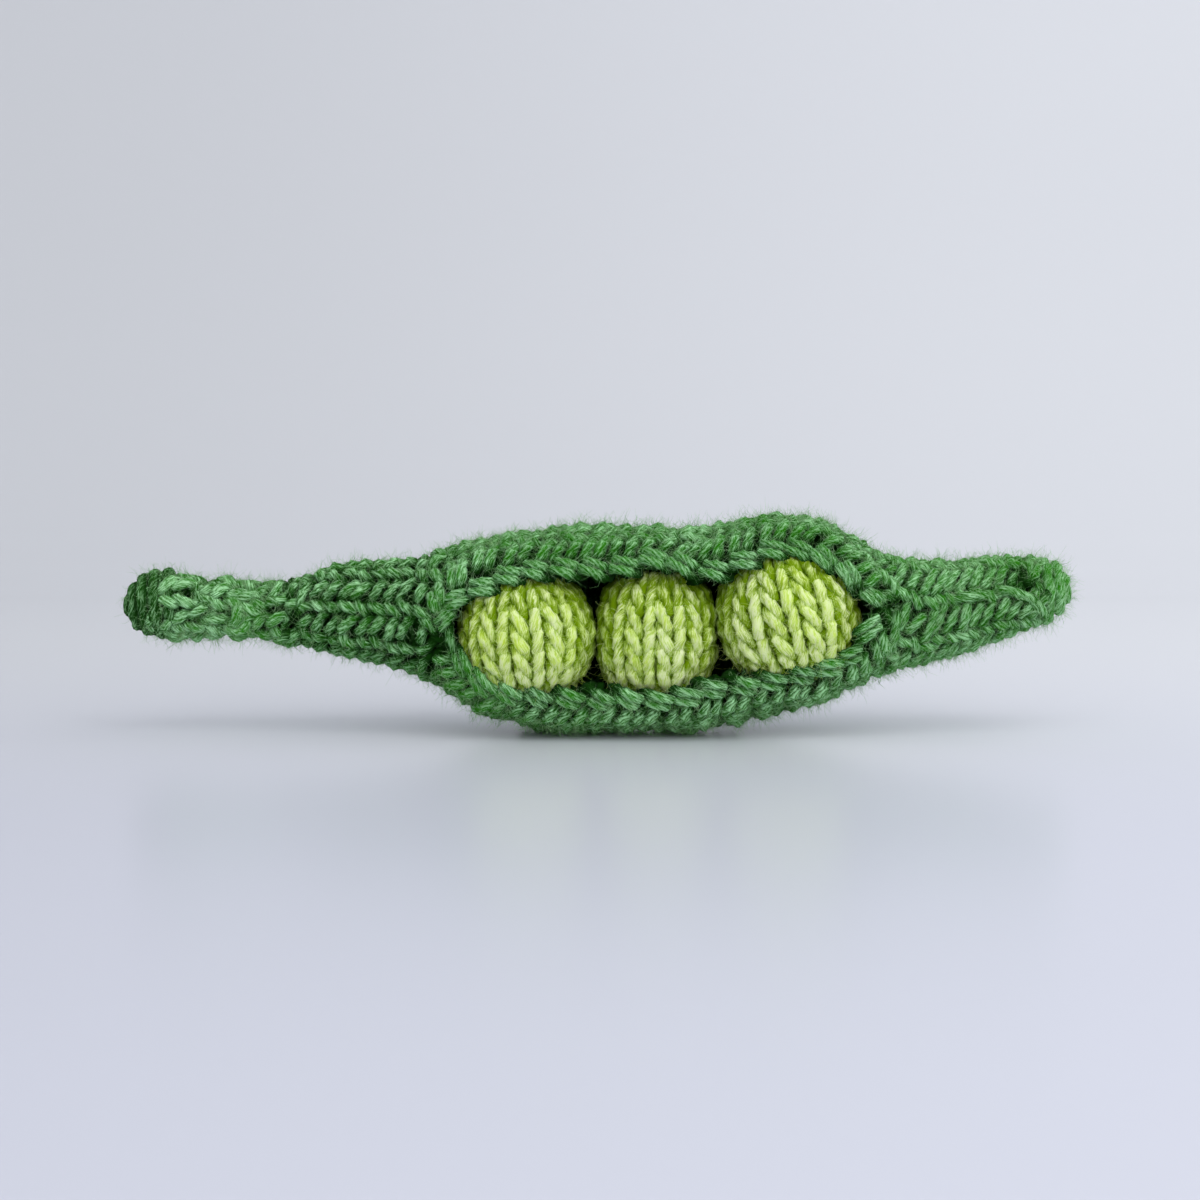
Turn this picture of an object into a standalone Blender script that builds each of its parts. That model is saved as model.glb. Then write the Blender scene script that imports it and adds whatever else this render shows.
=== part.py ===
"""Knitted pea pod: a hand-knitted wool casing with a cord stem, open along its front, that holds
three knitted and stuffed peas side by side.

The pod lies along X with its stem towards -X and its tip towards +X, its mouth faces -Y and Z is
up. The origin is the middle of the footprint, on the surface that the pod lies on. Sizes below
are in millimetres and are turned into metres where a mesh or a curve is made.
"""
import math

import bmesh
import bpy
from mathutils import Matrix, Vector

MM = 0.001

# Driving dimensions.
YARN_RADIUS = 1.2
POD_WALL = 4.2
PEA_WALL = 3.9
GAP = 0.35
STEM_END_X = -67.4
TIP_END_X = 67.4
STEM_END_ROUND = 5.2
TIP_END_ROUND = 6.4

# The casing's outline: place along X, underside, top, half depth. The underside runs slightly
# below zero where the pod presses its flat patch onto the surface.
CASING_STATIONS = (
    (-67.4, 14.0, 23.4, 4.8),
    (-60.0, 13.4, 22.9, 4.8),
    (-48.0, 13.3, 21.6, 4.3),
    (-43.0, 12.1, 22.0, 5.0),
    (-36.0, 10.6, 24.2, 6.8),
    (-26.0, 8.3, 24.9, 8.8),
    (-18.5, 3.9, 27.2, 11.2),
    (-9.0, 0.3, 28.7, 12.8),
    (0.0, -1.0, 29.6, 13.0),
    (11.0, -1.0, 29.0, 13.0),
    (17.5, 0.9, 29.6, 13.0),
    (25.0, 2.6, 31.1, 12.9),
    (33.0, 4.8, 29.7, 11.9),
    (39.0, 7.6, 26.2, 9.4),
    (45.0, 9.4, 24.5, 7.9),
    (55.0, 11.9, 24.8, 6.6),
    (67.4, 16.0, 23.8, 5.0),
)
BODY_SQUARENESS = 2.2
CASING_SIDES = 28
CASING_STEP = 3.6
END_RINGS = 4

# The hollow inside the casing, and the fillings that end where the outer peas begin.
HOLLOW_X = (-41.5, 60.0)
HOLLOW_ROUND = 5.0
HOLLOW_SIDES = 20
NECK_FILLING_X = (-40.8, -22.0)
TIP_FILLING_X = (39.6, 59.3)

# The mouth's outline seen from the front, from its stem corner along the upper lip to its tip
# corner and back along the lower lip.
MOUTH_OUTLINE = (
    (-20.8, 15.8),
    (-17.6, 20.2),
    (-10.8, 22.5),
    (-0.4, 22.8),
    (7.8, 23.4),
    (14.5, 22.6),
    (20.1, 24.4),
    (26.5, 25.7),
    (32.0, 23.9),
    (36.4, 20.6),
    (39.8, 19.0),
    (36.5, 15.2),
    (32.5, 11.6),
    (25.0, 9.6),
    (16.0, 8.8),
    (7.8, 7.6),
    (0.0, 7.9),
    (-8.0, 7.8),
    (-14.5, 9.4),
    (-18.8, 12.4),
)
MOUTH_POINTS = 44
MOUTH_Y = (-20.0, -2.0)

# Each pea: centre, half width, half depth, half height, and how far its poles lean towards +X.
PEAS = {
    "left": ((-10.1, -3.4, 14.3), (9.6, 9.6, 9.4), -4.0),
    "middle": ((8.3, -1.4, 14.5), (8.45, 9.3, 9.3), 1.0),
    "right": ((26.7, -3.4, 17.2), (9.75, 9.6, 9.4), -14.0),
}
PEA_SIDES = 20
PEA_RINGS = 12
CORE_SIDES = 16
CORE_RINGS = 9
CLOSING_RING_RADIUS = 1.0
CLOSING_YARN_RADIUS = 0.75

# The yarn that draws each end of the casing shut, and the seam along the front of the tip.
END_YARN_RING_RADIUS = 1.4
END_YARN_RADIUS = 1.0
END_YARN_DEPTH = 1.1
SEAM_ROUTE = ((42.5, 18.6), (47.0, 17.4), (52.0, 18.2), (57.0, 20.0))
SEAM_POINTS = 14
SEAM_DEPTH = 0.5

POD_GREEN = (0.075, 0.215, 0.088)
PEA_LIME = (0.39, 0.55, 0.18)
FIBRE_WHITE = (0.80, 0.79, 0.75)


def clear_scene():
    """Empties the file of the objects that it starts with."""
    for obj in list(bpy.data.objects):
        bpy.data.objects.remove(obj, do_unlink=True)


def make_material(name, colour, roughness):
    """One matt Principled material."""
    material = bpy.data.materials.new(name)
    material.use_nodes = True
    shader = material.node_tree.nodes["Principled BSDF"]
    shader.inputs["Base Color"].default_value = (*colour, 1.0)
    shader.inputs["Roughness"].default_value = roughness
    shader.inputs["Metallic"].default_value = 0.0
    return material


def add_object(name, data, material=None):
    """Links an object for this mesh or curve, with its material if it has one."""
    obj = bpy.data.objects.new(name, data)
    bpy.context.scene.collection.objects.link(obj)
    if material is not None:
        data.materials.append(material)
    return obj


def make_cutter(obj):
    """Marks an object as a cutting shape and not a piece."""
    obj.hide_render = True
    obj.display_type = "WIRE"
    return obj


def cut(obj, cutter):
    """Takes the cutter's shape out of the object."""
    modifier = obj.modifiers.new("cut_" + cutter.name, "BOOLEAN")
    modifier.operation = "DIFFERENCE"
    modifier.solver = "EXACT"
    modifier.object = cutter


def hermite(a, b, slope_a, slope_b, span, t):
    """A cubic from a to b with these end slopes, at t from 0 to 1."""
    rise = 2 * t**3 - 3 * t**2 + 1
    return (
        rise * a
        + (1 - rise) * b
        + (t**3 - 2 * t**2 + t) * span * slope_a
        + (t**3 - t**2) * span * slope_b
    )


def station_slope(index, column):
    """The outline's slope at a station, from the stations on either side of it."""
    before = CASING_STATIONS[max(index - 1, 0)]
    after = CASING_STATIONS[min(index + 1, len(CASING_STATIONS) - 1)]
    return (after[column] - before[column]) / (after[0] - before[0])


def outline_at(x, column):
    """The casing's underside (1), top (2) or half depth (3) at a place along X."""
    index = 0
    while index < len(CASING_STATIONS) - 2 and CASING_STATIONS[index + 1][0] < x:
        index += 1
    a = CASING_STATIONS[index]
    b = CASING_STATIONS[index + 1]
    span = b[0] - a[0]
    slopes = (station_slope(index, column), station_slope(index + 1, column))
    return hermite(a[column], b[column], *slopes, span, (x - a[0]) / span)


def rounding(distance, radius):
    """How much of its full width a round end has at this distance from its very end."""
    if distance >= radius:
        return 1.0
    return math.sqrt(max(0.0, 1 - (1 - distance / radius) ** 2))


def section(x, inset, share, sides):
    """The casing's cross-section at x, drawn in by inset and then scaled by share."""
    low = outline_at(x, 1) + inset
    high = outline_at(x, 2) - inset
    half_depth = (outline_at(x, 3) - inset) * share
    middle = (low + high) / 2
    half_height = (high - low) / 2 * share
    power = 2 / BODY_SQUARENESS
    points = []
    for k in range(sides):
        angle = 2 * math.pi * (k + 0.5) / sides
        across = math.copysign(abs(math.cos(angle)) ** power, math.cos(angle))
        up = math.copysign(abs(math.sin(angle)) ** power, math.sin(angle))
        height = max(0.0, middle + half_height * up)
        points.append(Vector((x, half_depth * across, height)) * MM)
    return points


def end_places(end, inward, radius):
    """Places along X for the rings of a round end, crowded towards the end itself."""
    angles = [math.pi / 2 * (k + 1) / END_RINGS for k in range(END_RINGS)]
    return [end + inward * radius * (1 - math.cos(angle)) for angle in angles]


def ring_places(x_range, radii, step):
    """Places along X for all the rings between two round ends."""
    start = end_places(x_range[0], 1, radii[0])
    finish = end_places(x_range[1], -1, radii[1])
    length = finish[-1] - start[-1]
    count = max(2, round(length / step))
    between = [start[-1] + length * k / count for k in range(1, count)]
    return start + between + finish[::-1]


def loft_mesh(name, x_range, radii, inset, sides, step):
    """A closed body that follows the casing's cross-section, with a round end at each side."""
    rings = []
    for x in ring_places(x_range, radii, step):
        share = rounding(x - x_range[0], radii[0]) * rounding(x_range[1] - x, radii[1])
        rings.append(section(x, inset, share, sides))
    shape = bmesh.new()
    loops = [[shape.verts.new(point) for point in ring] for ring in rings]
    for near, far in zip(loops, loops[1:]):
        for k in range(sides):
            after = (k + 1) % sides
            shape.faces.new((near[k], near[after], far[after], far[k]))
    for loop, end in ((loops[0], x_range[0]), (loops[-1], x_range[1])):
        centre = sum((v.co for v in loop), Vector()) / sides
        pole = shape.verts.new((end * MM, centre.y, centre.z))
        for k in range(sides):
            shape.faces.new((loop[k], loop[(k + 1) % sides], pole))
    return finish_mesh(name, shape)


def finish_mesh(name, shape):
    """Turns a bmesh into a mesh with its faces outwards, shaded smooth."""
    bmesh.ops.recalc_face_normals(shape, faces=shape.faces)
    mesh = bpy.data.meshes.new(name)
    shape.to_mesh(mesh)
    shape.free()
    mesh.shade_smooth()
    return mesh


def ellipsoid_mesh(name, half_sizes, sides, rings):
    """A ball with these half sizes along X, Y and Z."""
    shape = bmesh.new()
    bmesh.ops.create_uvsphere(shape, u_segments=sides, v_segments=rings, radius=1.0)
    bmesh.ops.scale(shape, vec=Vector(half_sizes) * MM, verts=shape.verts)
    return finish_mesh(name, shape)


def yarn_ring_mesh(name, ring_radius, yarn_radius):
    """A ring of yarn about the Z axis."""
    shape = bmesh.new()
    place = Matrix.Translation((ring_radius * MM, 0, 0)) @ Matrix.Rotation(math.pi / 2, 4, "X")
    made = bmesh.ops.create_circle(shape, segments=8, radius=yarn_radius * MM, matrix=place)
    edges = list({edge for vert in made["verts"] for edge in vert.link_edges})
    bmesh.ops.spin(
        shape,
        geom=made["verts"] + edges,
        cent=(0, 0, 0),
        axis=(0, 0, 1),
        angle=2 * math.pi,
        steps=14,
        use_merge=True,
    )
    bmesh.ops.remove_doubles(shape, verts=shape.verts, dist=1e-6)
    return finish_mesh(name, shape)


def disc_cutter(name, radius, depth):
    """A short round cutter about the Z axis, centred on its own origin."""
    shape = bmesh.new()
    bmesh.ops.create_cone(
        shape,
        cap_ends=True,
        segments=16,
        radius1=radius * MM,
        radius2=radius * MM,
        depth=depth * MM,
    )
    return make_cutter(add_object(name, finish_mesh(name, shape)))


def smooth_route(points, count, closed):
    """Evenly shared points on a Catmull-Rom curve through hand-placed ones."""
    knots = len(points)
    spans = knots if closed else knots - 1
    route = []
    for k in range(count):
        place = spans * k / (count if closed else count - 1)
        index = min(int(place), spans - 1)
        t = place - index
        near = [index - 1, index, index + 1, index + 2]
        if closed:
            near = [i % knots for i in near]
        else:
            near = [min(max(i, 0), knots - 1) for i in near]
        before, a, b, after = (Vector(points[i]) for i in near)
        route.append(hermite(a, b, (b - before) / 2, (after - a) / 2, 1.0, t))
    return route


def mouth_cutter():
    """A prism of the mouth's outline that opens the front wall only."""
    shape = bmesh.new()
    outline = smooth_route(MOUTH_OUTLINE, MOUTH_POINTS, True)
    front = [shape.verts.new((p.x * MM, MOUTH_Y[0] * MM, p.y * MM)) for p in outline]
    face = shape.faces.new(front)
    made = bmesh.ops.extrude_face_region(shape, geom=[face])
    moved = [item for item in made["geom"] if isinstance(item, bmesh.types.BMVert)]
    depth = (MOUTH_Y[1] - MOUTH_Y[0]) * MM
    bmesh.ops.translate(shape, vec=(0, depth, 0), verts=moved)
    return make_cutter(add_object("mouth_cutter", finish_mesh("mouth_cutter", shape)))


def place_pea_shape(obj, side):
    """Stands a pea's piece at the pea's centre and leans it as that pea leans."""
    centre, _, lean = PEAS[side]
    obj.location = Vector(centre) * MM
    obj.rotation_euler = (0, math.radians(lean), 0)
    return obj


def pea_half_sizes(side, grow):
    """A pea's half sizes, made larger or smaller by this much all round."""
    return [size + grow for size in PEAS[side][1]]


def pea_sockets():
    """The room that the peas take, gap included."""
    sockets = []
    for side in PEAS:
        name = "socket_" + side
        mesh = ellipsoid_mesh(name, pea_half_sizes(side, GAP), PEA_SIDES, PEA_RINGS)
        sockets.append(make_cutter(place_pea_shape(add_object(name, mesh), side)))
    return sockets


def end_yarn(name, end, inward, material):
    """The ring of yarn that draws one end of the casing shut, and the hollow it lies in."""
    height = (outline_at(end, 1) + outline_at(end, 2)) / 2
    centre = Vector((end + inward * END_YARN_DEPTH, 0, height)) * MM
    turn = (0, math.pi / 2, 0)
    ring = yarn_ring_mesh(name, END_YARN_RING_RADIUS, END_YARN_RADIUS)
    yarn = add_object(name, ring, material)
    room = END_YARN_RING_RADIUS + END_YARN_RADIUS + GAP
    depth = 2 * (END_YARN_DEPTH + GAP)
    hollow = disc_cutter(name + "_hollow", room, depth)
    for obj in (yarn, hollow):
        obj.location = centre
        obj.rotation_euler = turn
    return hollow


def front_surface(x, z, sink):
    """The point on the casing's front at this place and height, sunk into it by sink."""
    low = outline_at(x, 1)
    high = outline_at(x, 2)
    up = abs(z - (low + high) / 2) / ((high - low) / 2)
    across = (1 - min(up, 1.0) ** BODY_SQUARENESS) ** (1 / BODY_SQUARENESS)
    return Vector((x, sink - outline_at(x, 3) * across, z)) * MM


def tube_curve(name, points, radius):
    """A round tube through these points, with filled caps."""
    curve = bpy.data.curves.new(name, "CURVE")
    curve.dimensions = "3D"
    curve.bevel_depth = radius * MM
    curve.bevel_resolution = 2
    curve.use_fill_caps = True
    spline = curve.splines.new("POLY")
    spline.points.add(len(points) - 1)
    for knot, point in zip(spline.points, points):
        knot.co = (*point, 1.0)
    return curve


def mesh_from_curve(name, points, radius):
    """The same tube as a closed mesh, for cutting."""
    source = add_object(name + "_guide", tube_curve(name + "_guide", points, radius))
    graph = bpy.context.evaluated_depsgraph_get()
    mesh = bpy.data.meshes.new_from_object(source.evaluated_get(graph))
    bpy.data.objects.remove(source, do_unlink=True)
    shape = bmesh.new()
    shape.from_mesh(mesh)
    bmesh.ops.remove_doubles(shape, verts=shape.verts, dist=1e-6)
    return finish_mesh(name, shape)


def tip_seam(material):
    """The yarn that sews the casing's edges together in front of the tip, and its groove."""
    route = smooth_route(SEAM_ROUTE, SEAM_POINTS, False)
    points = [front_surface(p.x, p.y, SEAM_DEPTH) for p in route]
    add_object("tip_seam_yarn", tube_curve("tip_seam_yarn", points, YARN_RADIUS), material)
    along = (points[-1] - points[-2]).normalized() * GAP * MM
    back = (points[0] - points[1]).normalized() * GAP * MM
    longer = [points[0] + back, *points[1:-1], points[-1] + along]
    groove = mesh_from_curve("tip_seam_groove", longer, YARN_RADIUS + GAP)
    return make_cutter(add_object("tip_seam_groove", groove))


def pod_casing(material, cutters):
    """The knitted casing: stem, neck, body and tip in one shell, open along its front."""
    ends = (STEM_END_ROUND, TIP_END_ROUND)
    x_range = (STEM_END_X, TIP_END_X)
    mesh = loft_mesh("pod_casing", x_range, ends, 0.0, CASING_SIDES, CASING_STEP)
    casing = add_object("pod_casing", mesh, material)
    rounds = (HOLLOW_ROUND, HOLLOW_ROUND)
    hollow = loft_mesh("hollow", HOLLOW_X, rounds, POD_WALL, HOLLOW_SIDES, CASING_STEP)
    cut(casing, make_cutter(add_object("hollow", hollow)))
    cut(casing, mouth_cutter())
    for cutter in cutters:
        cut(casing, cutter)


def filling(name, x_range, material, socket):
    """Loose fibre inside one end of the casing, up to the pea next to it."""
    rounds = (HOLLOW_ROUND, HOLLOW_ROUND)
    mesh = loft_mesh(name, x_range, rounds, POD_WALL + GAP, HOLLOW_SIDES, CASING_STEP)
    cut(add_object(name, mesh, material), socket)


def pea(side, yarn_material, fibre_material):
    """One pea: its knitted cover, its filling, and the yarn that draws the cover shut on top."""
    name = "pea_cover_" + side
    mesh = ellipsoid_mesh(name, pea_half_sizes(side, 0.0), PEA_SIDES, PEA_RINGS)
    cover = place_pea_shape(add_object(name, mesh, yarn_material), side)

    name = "pea_core_" + side
    mesh = ellipsoid_mesh(name, pea_half_sizes(side, -PEA_WALL), CORE_SIDES, CORE_RINGS)
    cut(cover, make_cutter(place_pea_shape(add_object(name, mesh), side)))

    name = "pea_filling_" + side
    mesh = ellipsoid_mesh(name, pea_half_sizes(side, -PEA_WALL - GAP), CORE_SIDES, CORE_RINGS)
    place_pea_shape(add_object(name, mesh, fibre_material), side)

    centre, half_sizes, lean = PEAS[side]
    turn = Matrix.Rotation(math.radians(lean), 4, "Y")
    top = Vector(centre) + turn @ Vector((0, 0, half_sizes[2] - PEA_WALL / 2))
    name = "pea_closing_yarn_" + side
    mesh = yarn_ring_mesh(name, CLOSING_RING_RADIUS, CLOSING_YARN_RADIUS)
    yarn = add_object(name, mesh, yarn_material)
    room = CLOSING_RING_RADIUS + CLOSING_YARN_RADIUS + GAP
    hole = disc_cutter("pea_hole_" + side, room, 2 * PEA_WALL)
    for obj in (yarn, hole):
        obj.location = top * MM
        obj.rotation_euler = (0, math.radians(lean), 0)
    cut(cover, hole)


def main():
    clear_scene()
    pod_wool = make_material("pod_wool", POD_GREEN, 0.92)
    pea_wool = make_material("pea_wool", PEA_LIME, 0.92)
    fibre = make_material("fibre", FIBRE_WHITE, 0.95)
    sockets = pea_sockets()
    stem_hollow = end_yarn("stem_end_yarn", STEM_END_X, 1, pod_wool)
    tip_hollow = end_yarn("tip_end_yarn", TIP_END_X, -1, pod_wool)
    groove = tip_seam(pod_wool)
    pod_casing(pod_wool, [*sockets, stem_hollow, tip_hollow, groove])
    filling("neck_filling", NECK_FILLING_X, fibre, sockets[0])
    filling("tip_filling", TIP_FILLING_X, fibre, sockets[2])
    for side in PEAS:
        pea(side, pea_wool, fibre)


main()
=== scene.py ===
"""A hand-knitted pea pod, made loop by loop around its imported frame.

Every stitch is a real loop of plied wool: a course of base points is laid on the pod's skin, a
Geometry Nodes tree bends those points into loops and sweeps the plied yarn along them, and a
second tree grows the wool's loose fibres on the yarn. Lengths are in metres unless a name says
otherwise, +X runs from the stem to the tip, -Y points out of the mouth and +Z is up.
"""
import logging
import math
from collections.abc import Sequence
from dataclasses import dataclass, field, replace
from enum import Enum
from typing import Any

import bpy
import numpy as np
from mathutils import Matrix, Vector
from mathutils.bvhtree import BVHTree


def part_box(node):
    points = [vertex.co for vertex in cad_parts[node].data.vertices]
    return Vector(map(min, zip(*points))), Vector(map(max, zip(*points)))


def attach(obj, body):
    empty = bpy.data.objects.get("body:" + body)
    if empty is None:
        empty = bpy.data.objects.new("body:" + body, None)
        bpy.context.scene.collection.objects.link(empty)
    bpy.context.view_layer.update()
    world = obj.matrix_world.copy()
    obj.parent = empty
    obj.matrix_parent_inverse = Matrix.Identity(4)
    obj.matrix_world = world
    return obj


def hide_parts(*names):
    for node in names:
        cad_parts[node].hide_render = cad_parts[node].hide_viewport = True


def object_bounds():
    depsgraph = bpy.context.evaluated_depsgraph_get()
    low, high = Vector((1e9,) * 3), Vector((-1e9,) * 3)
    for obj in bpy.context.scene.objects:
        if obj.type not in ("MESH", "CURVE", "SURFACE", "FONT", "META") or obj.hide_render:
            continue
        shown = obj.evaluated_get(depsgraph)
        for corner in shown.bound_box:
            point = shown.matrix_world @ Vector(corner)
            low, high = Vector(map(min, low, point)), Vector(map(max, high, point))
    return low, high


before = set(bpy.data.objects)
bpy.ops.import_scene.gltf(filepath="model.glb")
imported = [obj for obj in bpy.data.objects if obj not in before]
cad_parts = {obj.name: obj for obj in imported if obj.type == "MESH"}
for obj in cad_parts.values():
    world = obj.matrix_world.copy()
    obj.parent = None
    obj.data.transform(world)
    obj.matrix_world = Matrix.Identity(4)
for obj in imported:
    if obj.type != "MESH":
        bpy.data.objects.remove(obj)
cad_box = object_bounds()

MM = 0.001
TAU = 2 * math.pi
FLOAT = "NodeSocketFloat"
WHOLE = "NodeSocketInt"
SHAPE = "NodeSocketGeometry"
MATERIAL = "NodeSocketMaterial"
log = logging.getLogger("pea_pod")
Array = np.ndarray
Colour = tuple[float, float, float]
Faces = list[tuple[int, ...]]


# ---------------------------------------------------------------- node trees


@dataclass(frozen=True)
class Field:
    """One output of a node, which can be added to, taken from or multiplied like a number."""

    craft: "NodeCraft"
    socket: bpy.types.NodeSocket

    @property
    def is_vector(self) -> bool:
        """Whether the output carries a vector or a colour."""
        return self.socket.type in ("VECTOR", "RGBA")

    def __add__(self, other: Any) -> "Field":
        """Adds a number, a vector or another output."""
        return self.craft.combine("ADD", self, other)

    def __sub__(self, other: Any) -> "Field":
        """Takes away a number, a vector or another output."""
        return self.craft.combine("SUBTRACT", self, other)

    def __mul__(self, other: Any) -> "Field":
        """Multiplies by a number, a vector or another output."""
        return self.craft.combine("MULTIPLY", self, other)


class NodeCraft:
    """Adds the nodes of one tree and joins them."""

    def __init__(self, tree: bpy.types.NodeTree) -> None:
        """Starts on the tree that the nodes go into."""
        self.tree = tree

    def node(self, kind: str, feeds: dict[Any, Any] | None = None, **settings: Any) -> bpy.types.Node:
        """Adds a node.

        Args:
            kind: the node's type name.
            feeds: what goes into its inputs, by input name or index.
            **settings: the node's own properties.

        Returns:
            The new node.
        """
        node = self.tree.nodes.new(kind)
        for key, value in settings.items():
            setattr(node, key, value)
        for key, value in (feeds or {}).items():
            self.feed(node.inputs[key], value)
        return node

    def feed(self, socket: bpy.types.NodeSocket, value: Any) -> None:
        """Links an output to an input, or sets the input's own value.

        Args:
            socket: the input.
            value: the output or the value.
        """
        if isinstance(value, Field):
            self.tree.links.new(value.socket, socket)
        else:
            socket.default_value = value

    def out(self, kind: str, feeds: dict[Any, Any] | None = None, port: Any = 0, **settings: Any) -> Field:
        """Adds a node and gives one of its outputs.

        Args:
            kind: the node's type name.
            feeds: what goes into its inputs.
            port: the output's name or index.
            **settings: the node's own properties.

        Returns:
            That output.
        """
        return Field(self, self.node(kind, feeds, **settings).outputs[port])

    def combine(self, operation: str, first: Field, second: Any) -> Field:
        """Adds, subtracts or multiplies two values, as numbers or as vectors.

        Args:
            operation: ADD, SUBTRACT or MULTIPLY.
            first: the left value.
            second: the right value, a number, a vector or an output.

        Returns:
            The result.
        """
        second_is_vector = second.is_vector if isinstance(second, Field) else isinstance(second, tuple)
        if not first.is_vector and not second_is_vector:
            return self.math(operation, first, second)
        if operation == "MULTIPLY" and not second_is_vector:
            return self.out("ShaderNodeVectorMath", {0: first, 3: second}, operation="SCALE")
        return self.out("ShaderNodeVectorMath", {0: first, 1: second}, operation=operation)

    def math(self, operation: str, *values: Any) -> Field:
        """One Math node on these values."""
        feeds = dict(enumerate(values))
        return self.out("ShaderNodeMath", feeds, operation=operation)

    def dot(self, first: Any, second: Any) -> Field:
        """How far one vector reaches along another."""
        return self.out("ShaderNodeVectorMath", {0: first, 1: second}, "Value", operation="DOT_PRODUCT")

    def spread(self, value: Field, low: float, high: float, to_low: float, to_high: float) -> Field:
        """Maps a value smoothly from one range to another, held at both ends."""
        feeds = {0: value, 1: low, 2: high, 3: to_low, 4: to_high}
        return self.out("ShaderNodeMapRange", feeds, interpolation_type="SMOOTHSTEP")


class GeometryCraft(NodeCraft):
    """A Geometry Nodes tree under construction."""

    def __init__(self, name: str) -> None:
        """Makes an empty tree with one output.

        Args:
            name: the tree's name.
        """
        tree = bpy.data.node_groups.new(name, "GeometryNodeTree")
        super().__init__(tree)
        tree.interface.new_socket("Geometry", in_out="OUTPUT", socket_type=SHAPE)
        self.entry = tree.nodes.new("NodeGroupInput")
        self.exit = tree.nodes.new("NodeGroupOutput")

    def ask(self, name: str, kind: str = FLOAT) -> Field:
        """Adds a named input to the tree and gives it as an output to use."""
        self.tree.interface.new_socket(name, in_out="INPUT", socket_type=kind)
        return Field(self, self.entry.outputs[name])

    def sizes(self, *names: str) -> list[Field]:
        """Adds several named numbers to the tree."""
        return [self.ask(name) for name in names]

    def named(self, name: str, kind: str = "FLOAT") -> Field:
        """The values that the geometry holds under this name."""
        return self.out("GeometryNodeInputNamedAttribute", {0: name}, data_type=kind)

    def keep(self, shape: Field, name: str, value: Field, kind: str = "FLOAT") -> Field:
        """Stores values on the points of the geometry under a name."""
        feeds = {0: shape, "Name": name, "Value": value}
        return self.out("GeometryNodeStoreNamedAttribute", feeds, data_type=kind, domain="POINT")

    def drop(self, shape: Field, name: str) -> Field:
        """Removes a named set of values from the geometry."""
        return self.out("GeometryNodeRemoveAttribute", {0: shape, "Name": name})

    def noise(self, place: Field, seed: Any, scale: float, detail: float = 1.0) -> Field:
        """Seeded noise as a vector from -0.5 to 0.5 each way.

        Args:
            place: where it is read.
            seed: what it starts from.
            scale: how fine it is, in waves a metre.
            detail: how many finer layers it has.

        Returns:
            The noise.
        """
        feeds = {"Vector": place, "W": seed, "Scale": scale, "Detail": detail}
        colour = self.out("ShaderNodeTexNoise", feeds, 1, noise_dimensions="4D")
        return colour - (0.5, 0.5, 0.5)

    def above(self, shape: Field, level: float) -> Field:
        """Lifts the points that lie below a level up to it.

        Args:
            shape: the geometry.
            level: the lowest height.

        Returns:
            The geometry above that level.
        """
        feeds = {0: self.out("GeometryNodeInputPosition"), 1: (-1.0, -1.0, level)}
        lifted = self.out("ShaderNodeVectorMath", feeds, operation="MAXIMUM")
        return self.out("GeometryNodeSetPosition", {0: shape, "Position": lifted})

    def finish(self, shape: Field, material: Field) -> bpy.types.NodeTree:
        """Ends the tree: smooth shading, realized instances and the material.

        Args:
            shape: the geometry made.
            material: the material input.

        Returns:
            The whole tree.
        """
        smooth = self.out("GeometryNodeSetShadeSmooth", {0: shape})
        real = self.out("GeometryNodeRealizeInstances", {0: smooth})
        dressed = self.out("GeometryNodeSetMaterial", {0: real, "Material": material})
        self.feed(self.exit.inputs[0], dressed)
        return self.tree


PROFILE_STEPS = 4  # points across each ply of the yarn's outline
DRIFT_SCALE = 230.0  # the fineness of the noise that the yarn wanders by
SLUB_SCALE = 330.0  # and of the noise that makes it thick and thin
SLUB_SEED = 9.0  # how far apart the two noises' seeds are
SLUB_TURN = 6.0  # how far a slub turns the plies, in radians
SLUB_SWELL = 0.7  # how much thicker it makes the yarn


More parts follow.
